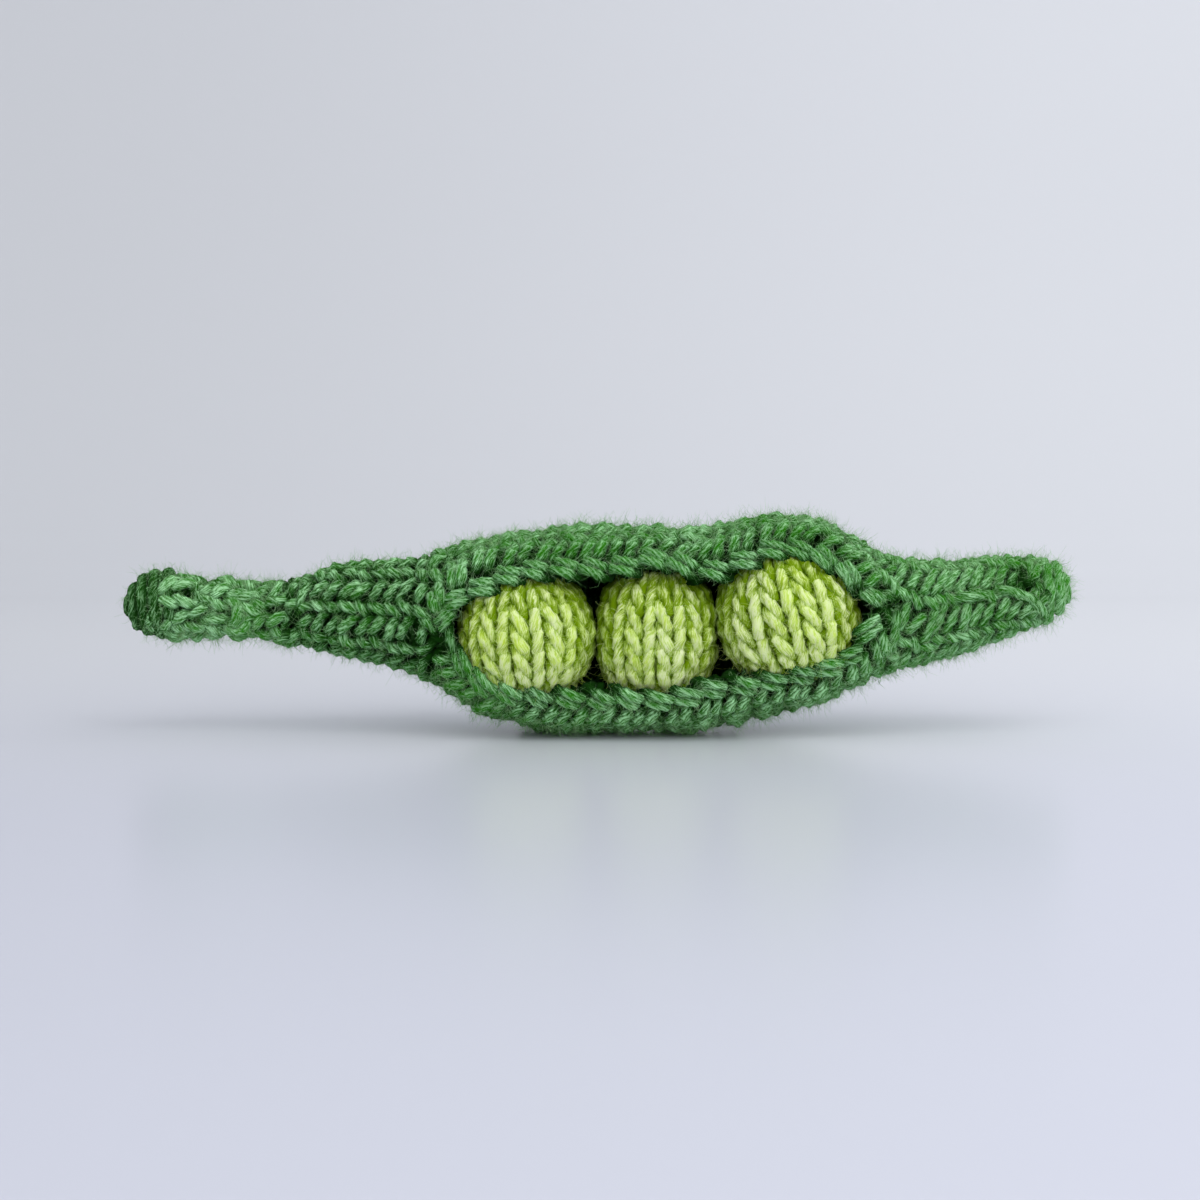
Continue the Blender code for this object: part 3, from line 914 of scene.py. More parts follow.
@dataclass
class Mouth:
    """The open front: its outline, and the skin around it by distance outwards from its edge."""

    form: PodForm
    outline: tuple[tuple[float, float], ...] = (  # its edge as places along X and Z, in millimetres
        (-20.8, 15.6), (-19.9, 18.2), (-17.6, 20.3), (-14.2, 21.8), (-10.8, 22.6), (-4.6, 23.1),
        (2.0, 23.3), (7.8, 24.0), (12.6, 23.2), (16.6, 23.2), (20.1, 24.4), (23.6, 25.5), (27.6, 25.8),
        (31.0, 24.7), (34.0, 22.4), (36.6, 20.2), (39.6, 19.1), (37.6, 17.2), (35.8, 14.6), (33.2, 12.1),
        (29.0, 10.6), (22.0, 9.5), (15.0, 8.3), (7.8, 6.9), (0.0, 7.3), (-7.5, 7.5), (-13.0, 8.6),
        (-16.6, 10.6), (-19.2, 13.2),
    )
    seam: tuple[tuple[float, float], ...] = (  # where the fabric's edges meet in front of the tip
        (39.6, 19.1), (45.6, 17.4), (51.0, 18.6), (57.0, 19.6), (68.0, 20.0),
    )
    seam_blend: float = 4 * MM  # over what length the line from the mouth's corner joins the seam
    part_fade: float = 11.0 * MM  # and over what length the line on the stem's side runs to the front
    points_round: int = 480
    step: float = 0.25 * MM  # from one row of points to the next
    steps: int = 36
    rows: list[Array] = field(init=False)

    def __post_init__(self) -> None:
        """Marches outwards over the skin from the mouth's edge and keeps every step."""
        form = self.form
        flat = smooth_closed(self.outline, self.points_round) * MM
        middle, height, depth = form.section(flat[:, 0])
        up = np.clip(np.abs(flat[:, 1] - middle) / height, 0.0, 0.999)
        y = -depth * (1 - up**form.squareness) ** (1 / form.squareness)
        points = np.stack([flat[:, 0], y, flat[:, 1]], axis=-1)
        rows = []
        for _ in range(self.steps + 1):
            tangent = self._tangent(points)
            normal = form.normal(points)
            outwards = unit(np.cross(normal, tangent))
            rows.append((points, normal, outwards, tangent))
            points = form.onto(points + outwards * self.step)
            points = (points + np.roll(points, 1, 0) + np.roll(points, -1, 0)) / 3
        self.rows = [np.stack([row[k] for row in rows]) for k in range(4)]

    @staticmethod
    def _tangent(points: Array) -> Array:
        """The direction round the mouth at each point."""
        return unit(np.roll(points, -2, 0) - np.roll(points, 2, 0))

    def sample(self, share: Array, offset: Array) -> tuple[Array, Array, Array, Array]:
        """The skin near the mouth.

        Args:
            share: places round the mouth, from 0 to 1.
            offset: distances outwards from its edge.

        Returns:
            Points, outward normals, directions away from the mouth and directions round it.
        """
        across = np.clip(offset / self.step, 0, self.steps - 1e-6)
        low = across.astype(int)
        t = (across - low)[:, None]
        place = (share % 1.0) * self.points_round
        left = place.astype(int) % self.points_round
        right = (left + 1) % self.points_round
        s = (place - place.astype(int))[:, None]
        found = []
        for table in self.rows:
            near = table[low, left] * (1 - s) + table[low, right] * s
            far = table[low + 1, left] * (1 - s) + table[low + 1, right] * s
            found.append(near * (1 - t) + far * t)
        return found[0], unit(found[1]), unit(found[2]), unit(found[3])

    def edge_angles(self, x: float, widths: Array) -> tuple[float, float]:
        """Where a section's fabric starts below the mouth and ends above it.

        Args:
            x: the section's place.
            widths: how far outside the mouth's edge the fabric starts, for each place round it.

        Returns:
            The first and last angle of the fabric. Past the mouth's corners they are one turn
            apart, at the line where the fabric's edges meet.
        """
        size = self.points_round
        edge = self.sample(np.arange(size) / size, widths)[0]
        left, right = int(np.argmin(edge[:, 0])), int(np.argmax(edge[:, 0]))
        angles = self.form.angle_of(edge)
        if x <= edge[left, 0]:
            fade = 1 - smoothstep((edge[left, 0] - x) / self.part_fade)
            below = above = float(angles[left] * fade)
        elif x >= edge[right, 0]:
            below = above = self._seam_angle(x, edge[right], angles[right])
        else:
            upper = [(left + k) % size for k in range((right - left) % size + 1)]
            lower = [(right + k) % size for k in range((left - right) % size + 1)][::-1]
            below, above = (
                float(np.interp(x, np.maximum.accumulate(edge[path, 0]), angles[path]))
                for path in (lower, upper)
            )
        return math.pi + below, 3 * math.pi + above

    def _seam_angle(self, x: float, corner: Array, corner_angle: float) -> float:
        """The angle of the seam in front of the tip.

        Args:
            x: the section's place.
            corner: the corner of the mouth that the seam starts from.
            corner_angle: the angle there.

        Returns:
            The angle from the front, positive downwards.
        """
        route = np.array(self.seam) * MM
        place = np.array([[x, 0.0, np.interp(x, route[:, 0], route[:, 1])]])
        place[0, 1] = -self.form.section(place[:, 0])[2][0]
        angle = float(self.form.angle_of(self.form.onto(place))[0])
        blend = smoothstep((x - corner[0]) / self.seam_blend)
        return float(corner_angle * (1 - blend) + angle * blend)


# ---------------------------------------------------------------- courses of stitches


@dataclass
class Guides:
    """The base points of many courses, with the directions that their loops bend in."""

    columns: dict[str, list[Array]] = field(
        default_factory=lambda: {name: [] for name in ("place", "across", "along", "out", "turn", "lift")}
    )
    links: list[Array] = field(default_factory=list)
    size: int = 0

    def add(
        self, place: Array, across: Array, along: Array, out: Array, turn: Array, lift: Array, closed: bool
    ) -> None:
        """Adds one course of points, joined in order, and end to end if it is closed.

        Args:
            place: the points.
            across: the directions across the stitch, a stitch long.
            along: the directions along the column, a course long.
            out: the directions out of the fabric.
            turn: how far round the stitch each point is, in radians.
            lift: how far each stands off the fabric.
            closed: whether the last point joins the first.
        """
        for name, values in zip(self.columns, (place, across, along, out, turn, lift)):
            self.columns[name].append(values)
        count = len(place)
        start = np.arange(count if closed else count - 1)
        self.links.append(np.stack([start, (start + 1) % count], axis=1) + self.size)
        self.size += count

    def add_strand(self, place: Array, out: Array) -> None:
        """Adds one plain strand of yarn along these points."""
        still, level = np.zeros_like(place), np.zeros(len(place))
        self.add(place, still, still, unit(out), level + math.pi / 2, level, False)

    def mesh(self, name: str) -> bpy.types.Mesh:
        """The courses as a mesh of edges whose points hold the directions.

        Args:
            name: the mesh's name.

        Returns:
            The mesh.
        """
        values = {key: np.concatenate(rows) for key, rows in self.columns.items()}
        mesh = bpy.data.meshes.new(name)
        mesh.from_pydata(values["place"].tolist(), np.concatenate(self.links).tolist(), [])
        for key in ("across", "along", "out"):
            store = mesh.attributes.new(key, "FLOAT_VECTOR", "POINT")
            store.data.foreach_set("vector", values[key].astype(np.float32).ravel())
        for key in ("turn", "lift"):
            store = mesh.attributes.new(key, "FLOAT", "POINT")
            store.data.foreach_set("value", values[key].astype(np.float32))
        return mesh


# What each kind of unevenness starts from. Where pieces are counted, the next one's is one more.
FABRIC_SEED = 7
BORDER_SEED = 21
PEA_SEED = 60
FABRIC_YARN_SEED = 3.0
BORDER_YARN_SEED = 11.0
PEA_YARN_SEED = 20.0
CLOSING_YARN_SEED = 31.0
CASING_FIBRE_SEED = 40
CLOSING_FIBRE_SEED = 51
PEA_FIBRE_SEED = 60

STITCH_POINTS = 16  # points along the yarn of one stitch
TAIL_POINTS = 6  # and along an end that is tucked under


def stitch_turns(closed: bool) -> Array:
    """The turns through one stitch, from the low point before its head to the one after it."""
    return np.linspace(-math.pi, math.pi, STITCH_POINTS + (not closed), endpoint=not closed)


def uneven(rng: np.random.Generator, number: Array, phase: Array, count: int, size: float) -> Array:
    """A random amount at each stitch of a course, blended between neighbours.

    Args:
        rng: the source of the amounts.
        number: which stitch each point is in.
        phase: where it is across that stitch, from -0.5 to 0.5.
        count: how many stitches there are.
        size: the typical amount.

    Returns:
        One amount for each point; the last stitch blends into the first.
    """
    knots = rng.standard_normal(count + 2) * size
    knots[0], knots[-1] = knots[-2], knots[1]
    return np.interp(number + phase + 0.5, np.arange(count + 2) - 0.5, knots)


@dataclass(frozen=True)
class Halo:
    """The loose fibres of some knitting."""

    per_cm2: float = 625.0  # how many grow on a square centimetre of outward yarn
    back_limit: float = 2.0 * MM  # the place along Y beyond which fewer grow
    behind: float = 0.45  # the share of them that grows there
    length: float = 2.15 * MM
    thickness: float = 0.020 * MM
    curl: float = 2.3 * MM
    splay: float = 1.7


LINING_SHADE_HEIGHT = -0.1  # the height, in millimetres, that a lining counts for in the wool's painted shade, which leaves it partly shaded


@dataclass
class Workshop:
    """What all the knitting of one colour is made with."""

    slot: str  # the name of the material slot for its pieces; not used
    wool: bpy.types.Material
    fibre: bpy.types.Material  # of the loose fibres
    stitches: bpy.types.NodeTree
    fibres: bpy.types.NodeTree

    def knit(
        self, name: str, guides: Guides, yarn: Yarn, gauge: Gauge, seed: float, shade: float = 0.0
    ) -> bpy.types.Object:
        """Knits guides into a piece of plied yarn.

        Args:
            name: the piece's name.
            guides: its courses.
            yarn: the yarn.
            gauge: the loop's shape.
            seed: what its unevenness starts from.
            shade: painted shade on its colour, counted in depth; below zero it is painted light.

        Returns:
            The finished piece.
        """
        values = {
            "Head Bow": gauge.bow,
            "Lean": gauge.lean,
            "Loop Height": gauge.height,
            "Loop Depth": gauge.depth,
            "Yarn Radius": yarn.radius,
            "Plies": yarn.plies,
            "Ply Groove": yarn.groove,
            "Twist": yarn.twist,
            "Wander": yarn.wander,
            "Shade": shade,
            "Seed": seed,
            "Wool": self.wool,
        }
        return grow(name, guides.mesh(name + "_guides"), self.stitches, values)

    def fuzz(self, name: str, knit: bpy.types.Object, seed: int, halo: Halo) -> None:
        """Grows the loose fibres of a knitted piece.

        Args:
            name: the fibres' name.
            knit: the knitted piece.
            seed: what their places start from.
            halo: how they grow.
        """
        values = {
            "Density": halo.per_cm2 * 1e4,
            "Length": halo.length,
            "Thickness": halo.thickness,
            "Curl": halo.curl,
            "Splay": halo.splay,
            "Back Limit": halo.back_limit,
            "Share Behind": halo.behind,
            "Seed": seed,
            "Wool": self.fibre,
        }
        self.settle(grow(name, knit.data.copy(), self.fibres, values))

    def line(self, name: str, points: Array, faces: Faces, node: str, wall: float = 0.0) -> None:
        """Makes the inner side of some knitting, which backs its stitches.

        Args:
            name: the piece's name.
            points: its points.
            faces: the corners of its faces.
            node: the CAD node that it stands for.
            wall: its thickness, or 0 where it is already closed.
        """
        mesh = bpy.data.meshes.new(name)
        mesh.from_pydata(points.tolist(), [], faces)
        mesh.materials.append(self.wool)
        lining = place_in_scene(name, mesh)
        if wall:
            weld = lining.modifiers.new("weld", "WELD")
            weld.merge_threshold = 0.01 * MM
            thickness = lining.modifiers.new("thickness", "SOLIDIFY")
            thickness.thickness = wall
            thickness.offset = -1.0
        make_plain(lining)
        made = lining.data
        store = made.attributes.new("height", "FLOAT", "POINT")
        store.data.foreach_set("value", np.full(len(made.vertices), LINING_SHADE_HEIGHT, np.float32))
        made.shade_smooth()
        self.settle(lining, node)

    def settle(self, piece: bpy.types.Object, *nodes: str) -> None:
        """Hands a finished piece to the frame.

        Args:
            piece: the object.
            *nodes: the CAD nodes that it stands for.
        """
        if "out" in piece.data.attributes:
            piece.data.attributes.remove(piece.data.attributes["out"])
        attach(piece, "root")
        if nodes:
            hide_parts(*nodes)
        triangles = sum(len(face.vertices) - 2 for face in piece.data.polygons)
        log.info("%s: %d triangles", piece.name, triangles)


@dataclass(frozen=True)
class Wale:
    """One column of stitches, from its increase to its decrease along X in millimetres."""

    start: float = -90.0
    end: float = 90.0
    ramp: float = 4.0  # over what length it widens and narrows

    def width(self, x: float) -> float:
        """Its share of a full stitch's width at a place along X."""
        since, left = x / MM - self.start, self.end - x / MM
        return float(smoothstep(since / self.ramp) * smoothstep(left / self.ramp))


class Zone(Enum):
    """The stretches that the casing is knitted in, by where each ends along X in millimetres."""

    STEM = -43.0
    NECK = -23.0
    BELLY = 8.0
    BREAST = 39.0
    TIP = 70.0

    @classmethod
    def at(cls, x: float) -> "Zone":
        """The stretch that holds a place along X."""
        return next(zone for zone in cls if x / MM <= zone.value)


@dataclass(frozen=True)
class Style:
    """How one stretch of the casing is knitted."""

    gauge: Gauge
    yarn: Yarn
    unevenness: float
    swirl: float = 0.12  # how far its stitches are turned at random, in radians
    shade: float = 0.0  # painted shade on its colour, counted in depth; below zero it is painted light


@dataclass(frozen=True)
class Border:
    """A one-stitch column that runs round the mouth."""

    name: str
    offset: float  # from the mouth's edge to its middle
    width: float
    gauge: Gauge
    yarn: Yarn
    lifts: tuple[float, float]  # of its outer and its inner half
    end: float = 1.0  # where its inner end is, in half stitches from its middle
    tuck: float = 0.0  # how far its end turns back under it
    dive: float = 0.0  # and how much deeper it goes there
    strands: tuple[tuple[float, float], ...] = ((0.0, 0.0),)  # shifts outwards and onwards
    unevenness: float = 0.2 * MM
    shade: float = 0.18 * MM  # painted shade on its colour, counted in depth


@dataclass(frozen=True)
class Dimple:
    """A spot on the front where the fabric is drawn in, or pushed out if its depth is below zero."""

    x: float
    z: float
    depth: float
    radius: float


LINING_ROWS = 76
LINING_WIDE = 41
SECTION_SAMPLES = 301  # points that a section is measured by
MOUTH_SAMPLES = 1200  # and the route round the mouth
RISE_SHARE = 0.7  # how unevenly stitches stand off the fabric, against how unevenly they lie on it
BORDER_TILT = 2.5  # how suddenly a border's outer level gives way to its inner one
POD_YARN = Yarn(radius=0.94 * MM)
POD_GAUGE = Gauge(pitch=2.12 * MM, bow=0.285, lean=0.17, height=0.82, depth=1.2 * MM)


@dataclass
class Casing:
    """The knitted casing: its columns of stitches, the border round its mouth and its lining."""

    form: PodForm
    mouth: Mouth
    # The stretches' shades are painted: painted light on the stem and the tip, painted shade on the neck and
    # the middle.
    styles: dict[Zone, Style] = field(
        default_factory=lambda: {
            Zone.STEM: Style(
                Gauge(1.95 * MM, bow=0.25, lean=0.06, height=0.85, depth=0.72 * MM),
                Yarn(radius=0.88 * MM, wander=0.75 * MM),
                0.6 * MM,
                swirl=0.5,
                shade=-0.22 * MM,
            ),
            Zone.NECK: Style(
                Gauge(2.12 * MM, bow=0.25, lean=0.14, height=0.85, depth=1.25 * MM),
                Yarn(radius=0.90 * MM),
                0.28 * MM,
                swirl=0.16,
                shade=0.16 * MM,
            ),
            Zone.BELLY: Style(POD_GAUGE, POD_YARN, 0.34 * MM, swirl=0.18, shade=0.08 * MM),
            Zone.BREAST: Style(POD_GAUGE, POD_YARN, 0.34 * MM, swirl=0.18, shade=0.08 * MM),
            Zone.TIP: Style(
                Gauge(1.75 * MM, bow=0.285, lean=0.17, height=0.88, depth=1.1 * MM),
                Yarn(radius=0.84 * MM),
                0.24 * MM,
                shade=-0.45 * MM,
            ),
        }
    )
    borders: tuple[Border, ...] = (
        Border(
            "mouth_rim_knit",
            offset=3.3 * MM,
            width=5.8 * MM,
            gauge=Gauge(2.12 * MM, bow=0.285, lean=0.15, height=0.60, depth=1.25 * MM),
            yarn=POD_YARN,
            lifts=(0.5 * MM, -2.0 * MM),
            end=0.24,
            tuck=2.0 * MM,
            unevenness=0.3 * MM,
        ),
        Border(
            "mouth_edge_chain",
            offset=2.75 * MM,
            width=5.9 * MM,
            gauge=Gauge(4.2 * MM, bow=0.24, lean=0.08, height=0.70, depth=1.0 * MM),
            yarn=Yarn(radius=0.80 * MM),
            lifts=(-2.2 * MM, 0.4 * MM),
            end=0.64,
            tuck=3.0 * MM,
            dive=2.0 * MM,
            strands=((0.62 * MM, 0.35 * MM), (-0.62 * MM, -0.35 * MM)),
            unevenness=0.28 * MM,
        ),
    )
    edge_roll: float = 1.7 * MM  # the radius that the mouth's edge rolls inwards on
    fabric_offset: float = 6.0 * MM  # from the mouth's edge to the fabric's
    corner_squeeze: tuple[float, float] = (0.38, 0.45)  # how much narrower the border is at each corner
    corner_reach: float = 0.035  # and how far from it, as a share of the way round
    least_width: float = 0.45  # the share of a stitch's width from which a column is knitted
    open_from: float = -25.0  # where the courses stop being closed rings, in millimetres
    size_spread: tuple[float, float] = (0.07, 0.10)  # how much its stitches differ in width and height
    halo: Halo = Halo()
    lining_offset: float = 2.6 * MM  # from the mouth's edge to the lining's
    lining_sink: float = 2.1 * MM  # how deep it lies
    lining_wall: float = 0.5 * MM
    dimples: tuple[Dimple, ...] = (
        Dimple(59.8 * MM, 21.7 * MM, 4.0 * MM, 1.7 * MM),
        Dimple(40.9 * MM, 18.5 * MM, 2.8 * MM, 1.5 * MM),
        Dimple(-22.4 * MM, 13.9 * MM, 2.8 * MM, 1.6 * MM),
        Dimple(-15.2 * MM, 8.2 * MM, -1.15 * MM, 3.0 * MM),
    )
    bare_ends: tuple[float, float] = (-62.6 * MM, 62.9 * MM)  # beyond these only yarn is wound
    wales: tuple[Wale, ...] = (
        Wale(end=-42.0),
        Wale(-44.0, -21.5),
        Wale(),
        Wale(-16.0, 37.0),
        Wale(-40.0),
        Wale(-22.0, 35.0),
        Wale(end=61.0),
        Wale(-24.0, 33.0),
        Wale(end=-42.0),
        Wale(-27.0),
        Wale(end=63.0),
        Wale(-19.0, 39.0),
        Wale(-42.0),
        Wale(-21.0, 34.0),
        Wale(),
        Wale(-44.0, -21.5),
    )

    def _squeeze(self, share: Array) -> Array:
        """How much narrower the border is at each place round the mouth, from 0 to 1.

        Args:
            share: places round the mouth, from 0 to 1.

        Returns:
            One share for each.
        """
        edge = self.mouth.rows[0][0][:, 0]
        size = len(edge)
        corners = (np.argmin(edge) / size, np.argmax(edge) / size)
        total = np.zeros_like(share)
        for corner, amount in zip(corners, self.corner_squeeze):
            away = np.abs((share - corner + 0.5) % 1.0 - 0.5)
            total = np.maximum(total, amount * np.exp(-((away / self.corner_reach) ** 2)))
        return total

    def _fabric_edge(self, offset: float) -> Array:
        """How far outside the mouth's edge something at this offset runs, round the mouth."""
        share = np.arange(self.mouth.points_round) / self.mouth.points_round
        return offset * (1 - self._squeeze(share))

    def _locate(self, run: float, wale: Array, phase: Array, edge: Array) -> Array:
        """Points of one course.

        Args:
            run: the course's distance along the skin.
            wale: which column each point is in.
            phase: where it is across that column, from -0.5 to 0.5.
            edge: the fabric's edge, as _fabric_edge gives it.

        Returns:
            The points, one row each.
        """
        x = self.form.x_at(run)
        widths = np.array([w.width(x) for w in self.wales])
        ends = np.cumsum(widths)
        middle = ends - widths / 2
        share = (middle[wale] + widths[wale] * phase) / ends[-1]
        low, high = self.mouth.edge_angles(x, edge)
        angles = np.linspace(low, high, SECTION_SAMPLES)
        curve = self.form.skin(np.full_like(angles, x), angles)
        away = run_along(curve)
        angle = np.interp(share * away[-1], away, angles)
        return self.form.skin(np.full_like(angle, x), angle)

    def _drawn_in(self, place: Array) -> Array:
        """How far the fabric is drawn in at each point.

        Args:
            place: the points, one row each.

        Returns:
            One depth for each.
        """
        depth = np.zeros(len(place))
        for dimple in self.dimples:
            gap = np.hypot(place[:, 0] - dimple.x, place[:, 2] - dimple.z) / dimple.radius
            depth += np.where(place[:, 1] < 0, dimple.depth * np.exp(-(gap**2)), 0.0)
        return depth

    def course(self, guides: Guides, run: float, edge: Array, style: Style, rng: np.random.Generator) -> None:
        """Lays one course of the fabric's stitches across all its columns.

        Args:
            guides: what the course is added to.
            run: its distance along the skin.
            edge: the fabric's edge round the mouth.
            style: how it is knitted.
            rng: the source of its unevenness.
        """
        x = self.form.x_at(run)
        alive = np.array([k for k, wale in enumerate(self.wales) if wale.width(x) > self.least_width])
        closed = x / MM < self.open_from
        turns = stitch_turns(True)
        number = np.repeat(np.arange(len(alive)), len(turns))
        turn = np.tile(turns, len(alive))
        if not closed:
            number = np.append(number, number[-1])
            turn = np.append(turn, math.pi)
        wale, phase = alive[number], turn / TAU
        nudge, step = 0.02, 0.25 * MM
        place = self._locate(run, wale, phase, edge)
        left, right = (self._locate(run, wale, phase + side, edge) for side in (-nudge, nudge))
        back, ahead = max(run - step, 0.0), min(run + step, self.form.length)
        behind, beyond = (self._locate(near, wale, phase, edge) for near in (back, ahead))
        across, along = (right - left) / (2 * nudge), unit(beyond - behind)
        out = unit(np.cross(across, along))
        sizes = (style.unevenness, style.unevenness, RISE_SHARE * style.unevenness, *self.size_spread)
        shifts = [uneven(rng, number, phase, len(alive), size)[:, None] for size in sizes]
        place = place + unit(across) * shifts[0] + along * shifts[1]
        lift = shifts[2][:, 0] - self._drawn_in(place)
        swirl = uneven(rng, number, phase, len(alive), style.swirl)[:, None]
        width, side, up = np.linalg.norm(across, axis=1)[:, None], unit(across), along
        across = (side * np.cos(swirl) + up * np.sin(swirl)) * width * (1 + shifts[3])
        along = (up * np.cos(swirl) - side * np.sin(swirl)) * style.gauge.pitch * (1 + shifts[4])
        guides.add(place, across, along, out, turn, lift, closed)

    def fabric(self) -> dict[Zone, Guides]:
        """Lays all the fabric's courses, sorted by stretch.

        Returns:
            The courses of each stretch.
        """
        edge = self._fabric_edge(self.fabric_offset)
        rng = np.random.default_rng(FABRIC_SEED)
        found = {zone: Guides() for zone in Zone}
        run = self.form.run_at(self.bare_ends[0])
        while run < self.form.run_at(self.bare_ends[1]):
            zone = Zone.at(self.form.x_at(run))
            self.course(found[zone], run, edge, self.styles[zone], rng)
            run += self.styles[zone].gauge.pitch
        return found

    def _rolled(self, share: Array, distance: Array) -> tuple[Array, Array, Array, Array]:
        """The skin round the mouth, whose edge rolls inwards.

        Args:
            share: places round the mouth, from 0 to 1.
            distance: distances outwards from its edge; those below zero are on the roll.

        Returns:
            Points, and the directions out of the fabric, away from the mouth and round it.
        """
        place, out, away, round_ = self.mouth.sample(share, np.maximum(distance, 0.0))
        past = np.minimum(distance, 0.0)[:, None]
        turn = np.maximum(past / self.edge_roll, -math.pi / 2)
        c, s = np.cos(turn), np.sin(turn)
        rolled = place + (away * s - out * (1 - c)) * self.edge_roll
        out, away = out * c + away * s, away * c - out * s
        return rolled + away * (past - turn * self.edge_roll), out, away, round_

    def border(self, border: Border, rng: np.random.Generator) -> Guides:
        """Lays a one-stitch column round the mouth.

        Args:
            border: the column.
            rng: the source of its unevenness.

        Returns:
            Its courses, one for each stitch.
        """
        mouth = self.mouth
        share = np.linspace(0, 1, MOUTH_SAMPLES, endpoint=False)
        route = mouth.sample(share, border.offset * (1 - self._squeeze(share)))[0]
        away = run_along(np.vstack([route, route[:1]]))
        pitch = border.gauge.pitch
        count = round(away[-1] / pitch)
        turn = stitch_turns(False)
        turn = turn[turn <= border.end * math.pi + 1e-6]
        tail = np.linspace(0, 1, TAIL_POINTS)[1:] if border.tuck else np.zeros(0)
        turn = np.append(turn, np.full(len(tail), turn[-1]))
        guides = Guides()
        inner = smoothstep(turn / TAU * BORDER_TILT + 0.5)
        lift = border.lifts[0] * (1 - inner) + border.lifts[1] * inner
        onward = np.append(np.zeros(len(turn) - len(tail)), tail)
        lift = lift - border.dive * smoothstep(onward * 2)
        for k in range(count):
            bump = rng.standard_normal(3) * border.unevenness
            for outwards, onwards in border.strands:
                middle = ((k + 0.5) * away[-1] / count + onwards + bump[0]) % away[-1]
                at = np.full_like(turn, np.interp(middle, away, np.append(share, 1.0)))
                shrink = 1 - self._squeeze(at)
                distance = (border.offset + outwards + bump[1] - border.width * turn / TAU) * shrink
                distance = distance + border.tuck * onward
                place, out, apart, round_ = self._rolled(at, distance)
                across = -apart * (border.width * shrink)[:, None]
                level = lift + bump[2] * RISE_SHARE - self._drawn_in(place)
                guides.add(place, across, round_ * pitch, out, turn, level, False)
        return guides

    def _line(self, shop: Workshop) -> None:
        """Makes the fabric's inner side: a thin closed shell.

        Args:
            shop: what it is made with.
        """
        edge = self._fabric_edge(self.lining_offset)
        shares = np.linspace(0, 1, LINING_WIDE)
        points: list[Array] = []
        for row in range(LINING_ROWS):
            run = self.form.length * (row + 0.5) / LINING_ROWS
            x = self.form.x_at(run)
            low, high = self.mouth.edge_angles(x, edge)
            angles = low + (high - low) * shares
            points.append(self.form.skin(np.full_like(angles, x), angles, self.lining_sink))
        faces = grid_faces(LINING_ROWS, LINING_WIDE, False)
        shop.line("casing_lining", np.concatenate(points), faces, "pod_casing", self.lining_wall)

    def make(self, shop: Workshop) -> None:
        """Knits, fuzzes, lines and closes the whole casing.

        Args:
            shop: what it is knitted with.
        """
        pieces = []
        for number, (zone, guides) in enumerate(self.fabric().items()):
            style = self.styles[zone]
            name, seed = zone.name.lower() + "_knit", FABRIC_YARN_SEED + number
            pieces.append(shop.knit(name, guides, style.yarn, style.gauge, seed, style.shade))
        rng = np.random.default_rng(BORDER_SEED)
        for number, border in enumerate(self.borders):
            guides, seed = self.border(border, rng), BORDER_YARN_SEED + number
            pieces.append(shop.knit(border.name, guides, border.yarn, border.gauge, seed, border.shade))
        for number, piece in enumerate(pieces):
            shop.fuzz(piece.name + "_fuzz", piece, CASING_FIBRE_SEED + number, self.halo)
            shop.settle(piece, "pod_casing")
        self._line(shop)
        Closing(self.form, self.mouth, self.styles[Zone.TIP].gauge, self.halo).make(shop)


@dataclass(frozen=True)
class Winding:
    """A strand that is wound over a round end of the casing to draw it shut."""

    radius: float  # the round end's, to the middle of the yarn
    turns: float
    start: float = 0.12  # from the pole to the first turn, as an angle
    inwards: float = 0.85 * MM  # from the casing's end to the first turn
    sleeve: float = 2.0 * MM  # how far along the casing the last turn goes on
    centre: float = 3.4 * MM  # from the casing's end to the section whose middle it runs round
    phase: float = 0.6
    waver: float = 0.04  # how much its distance from the middle wavers, as a share
    waver_rate: float = 1.7  # how often, in one turn
    waver_start: float = 1.0
    points: int = 45  # in one turn


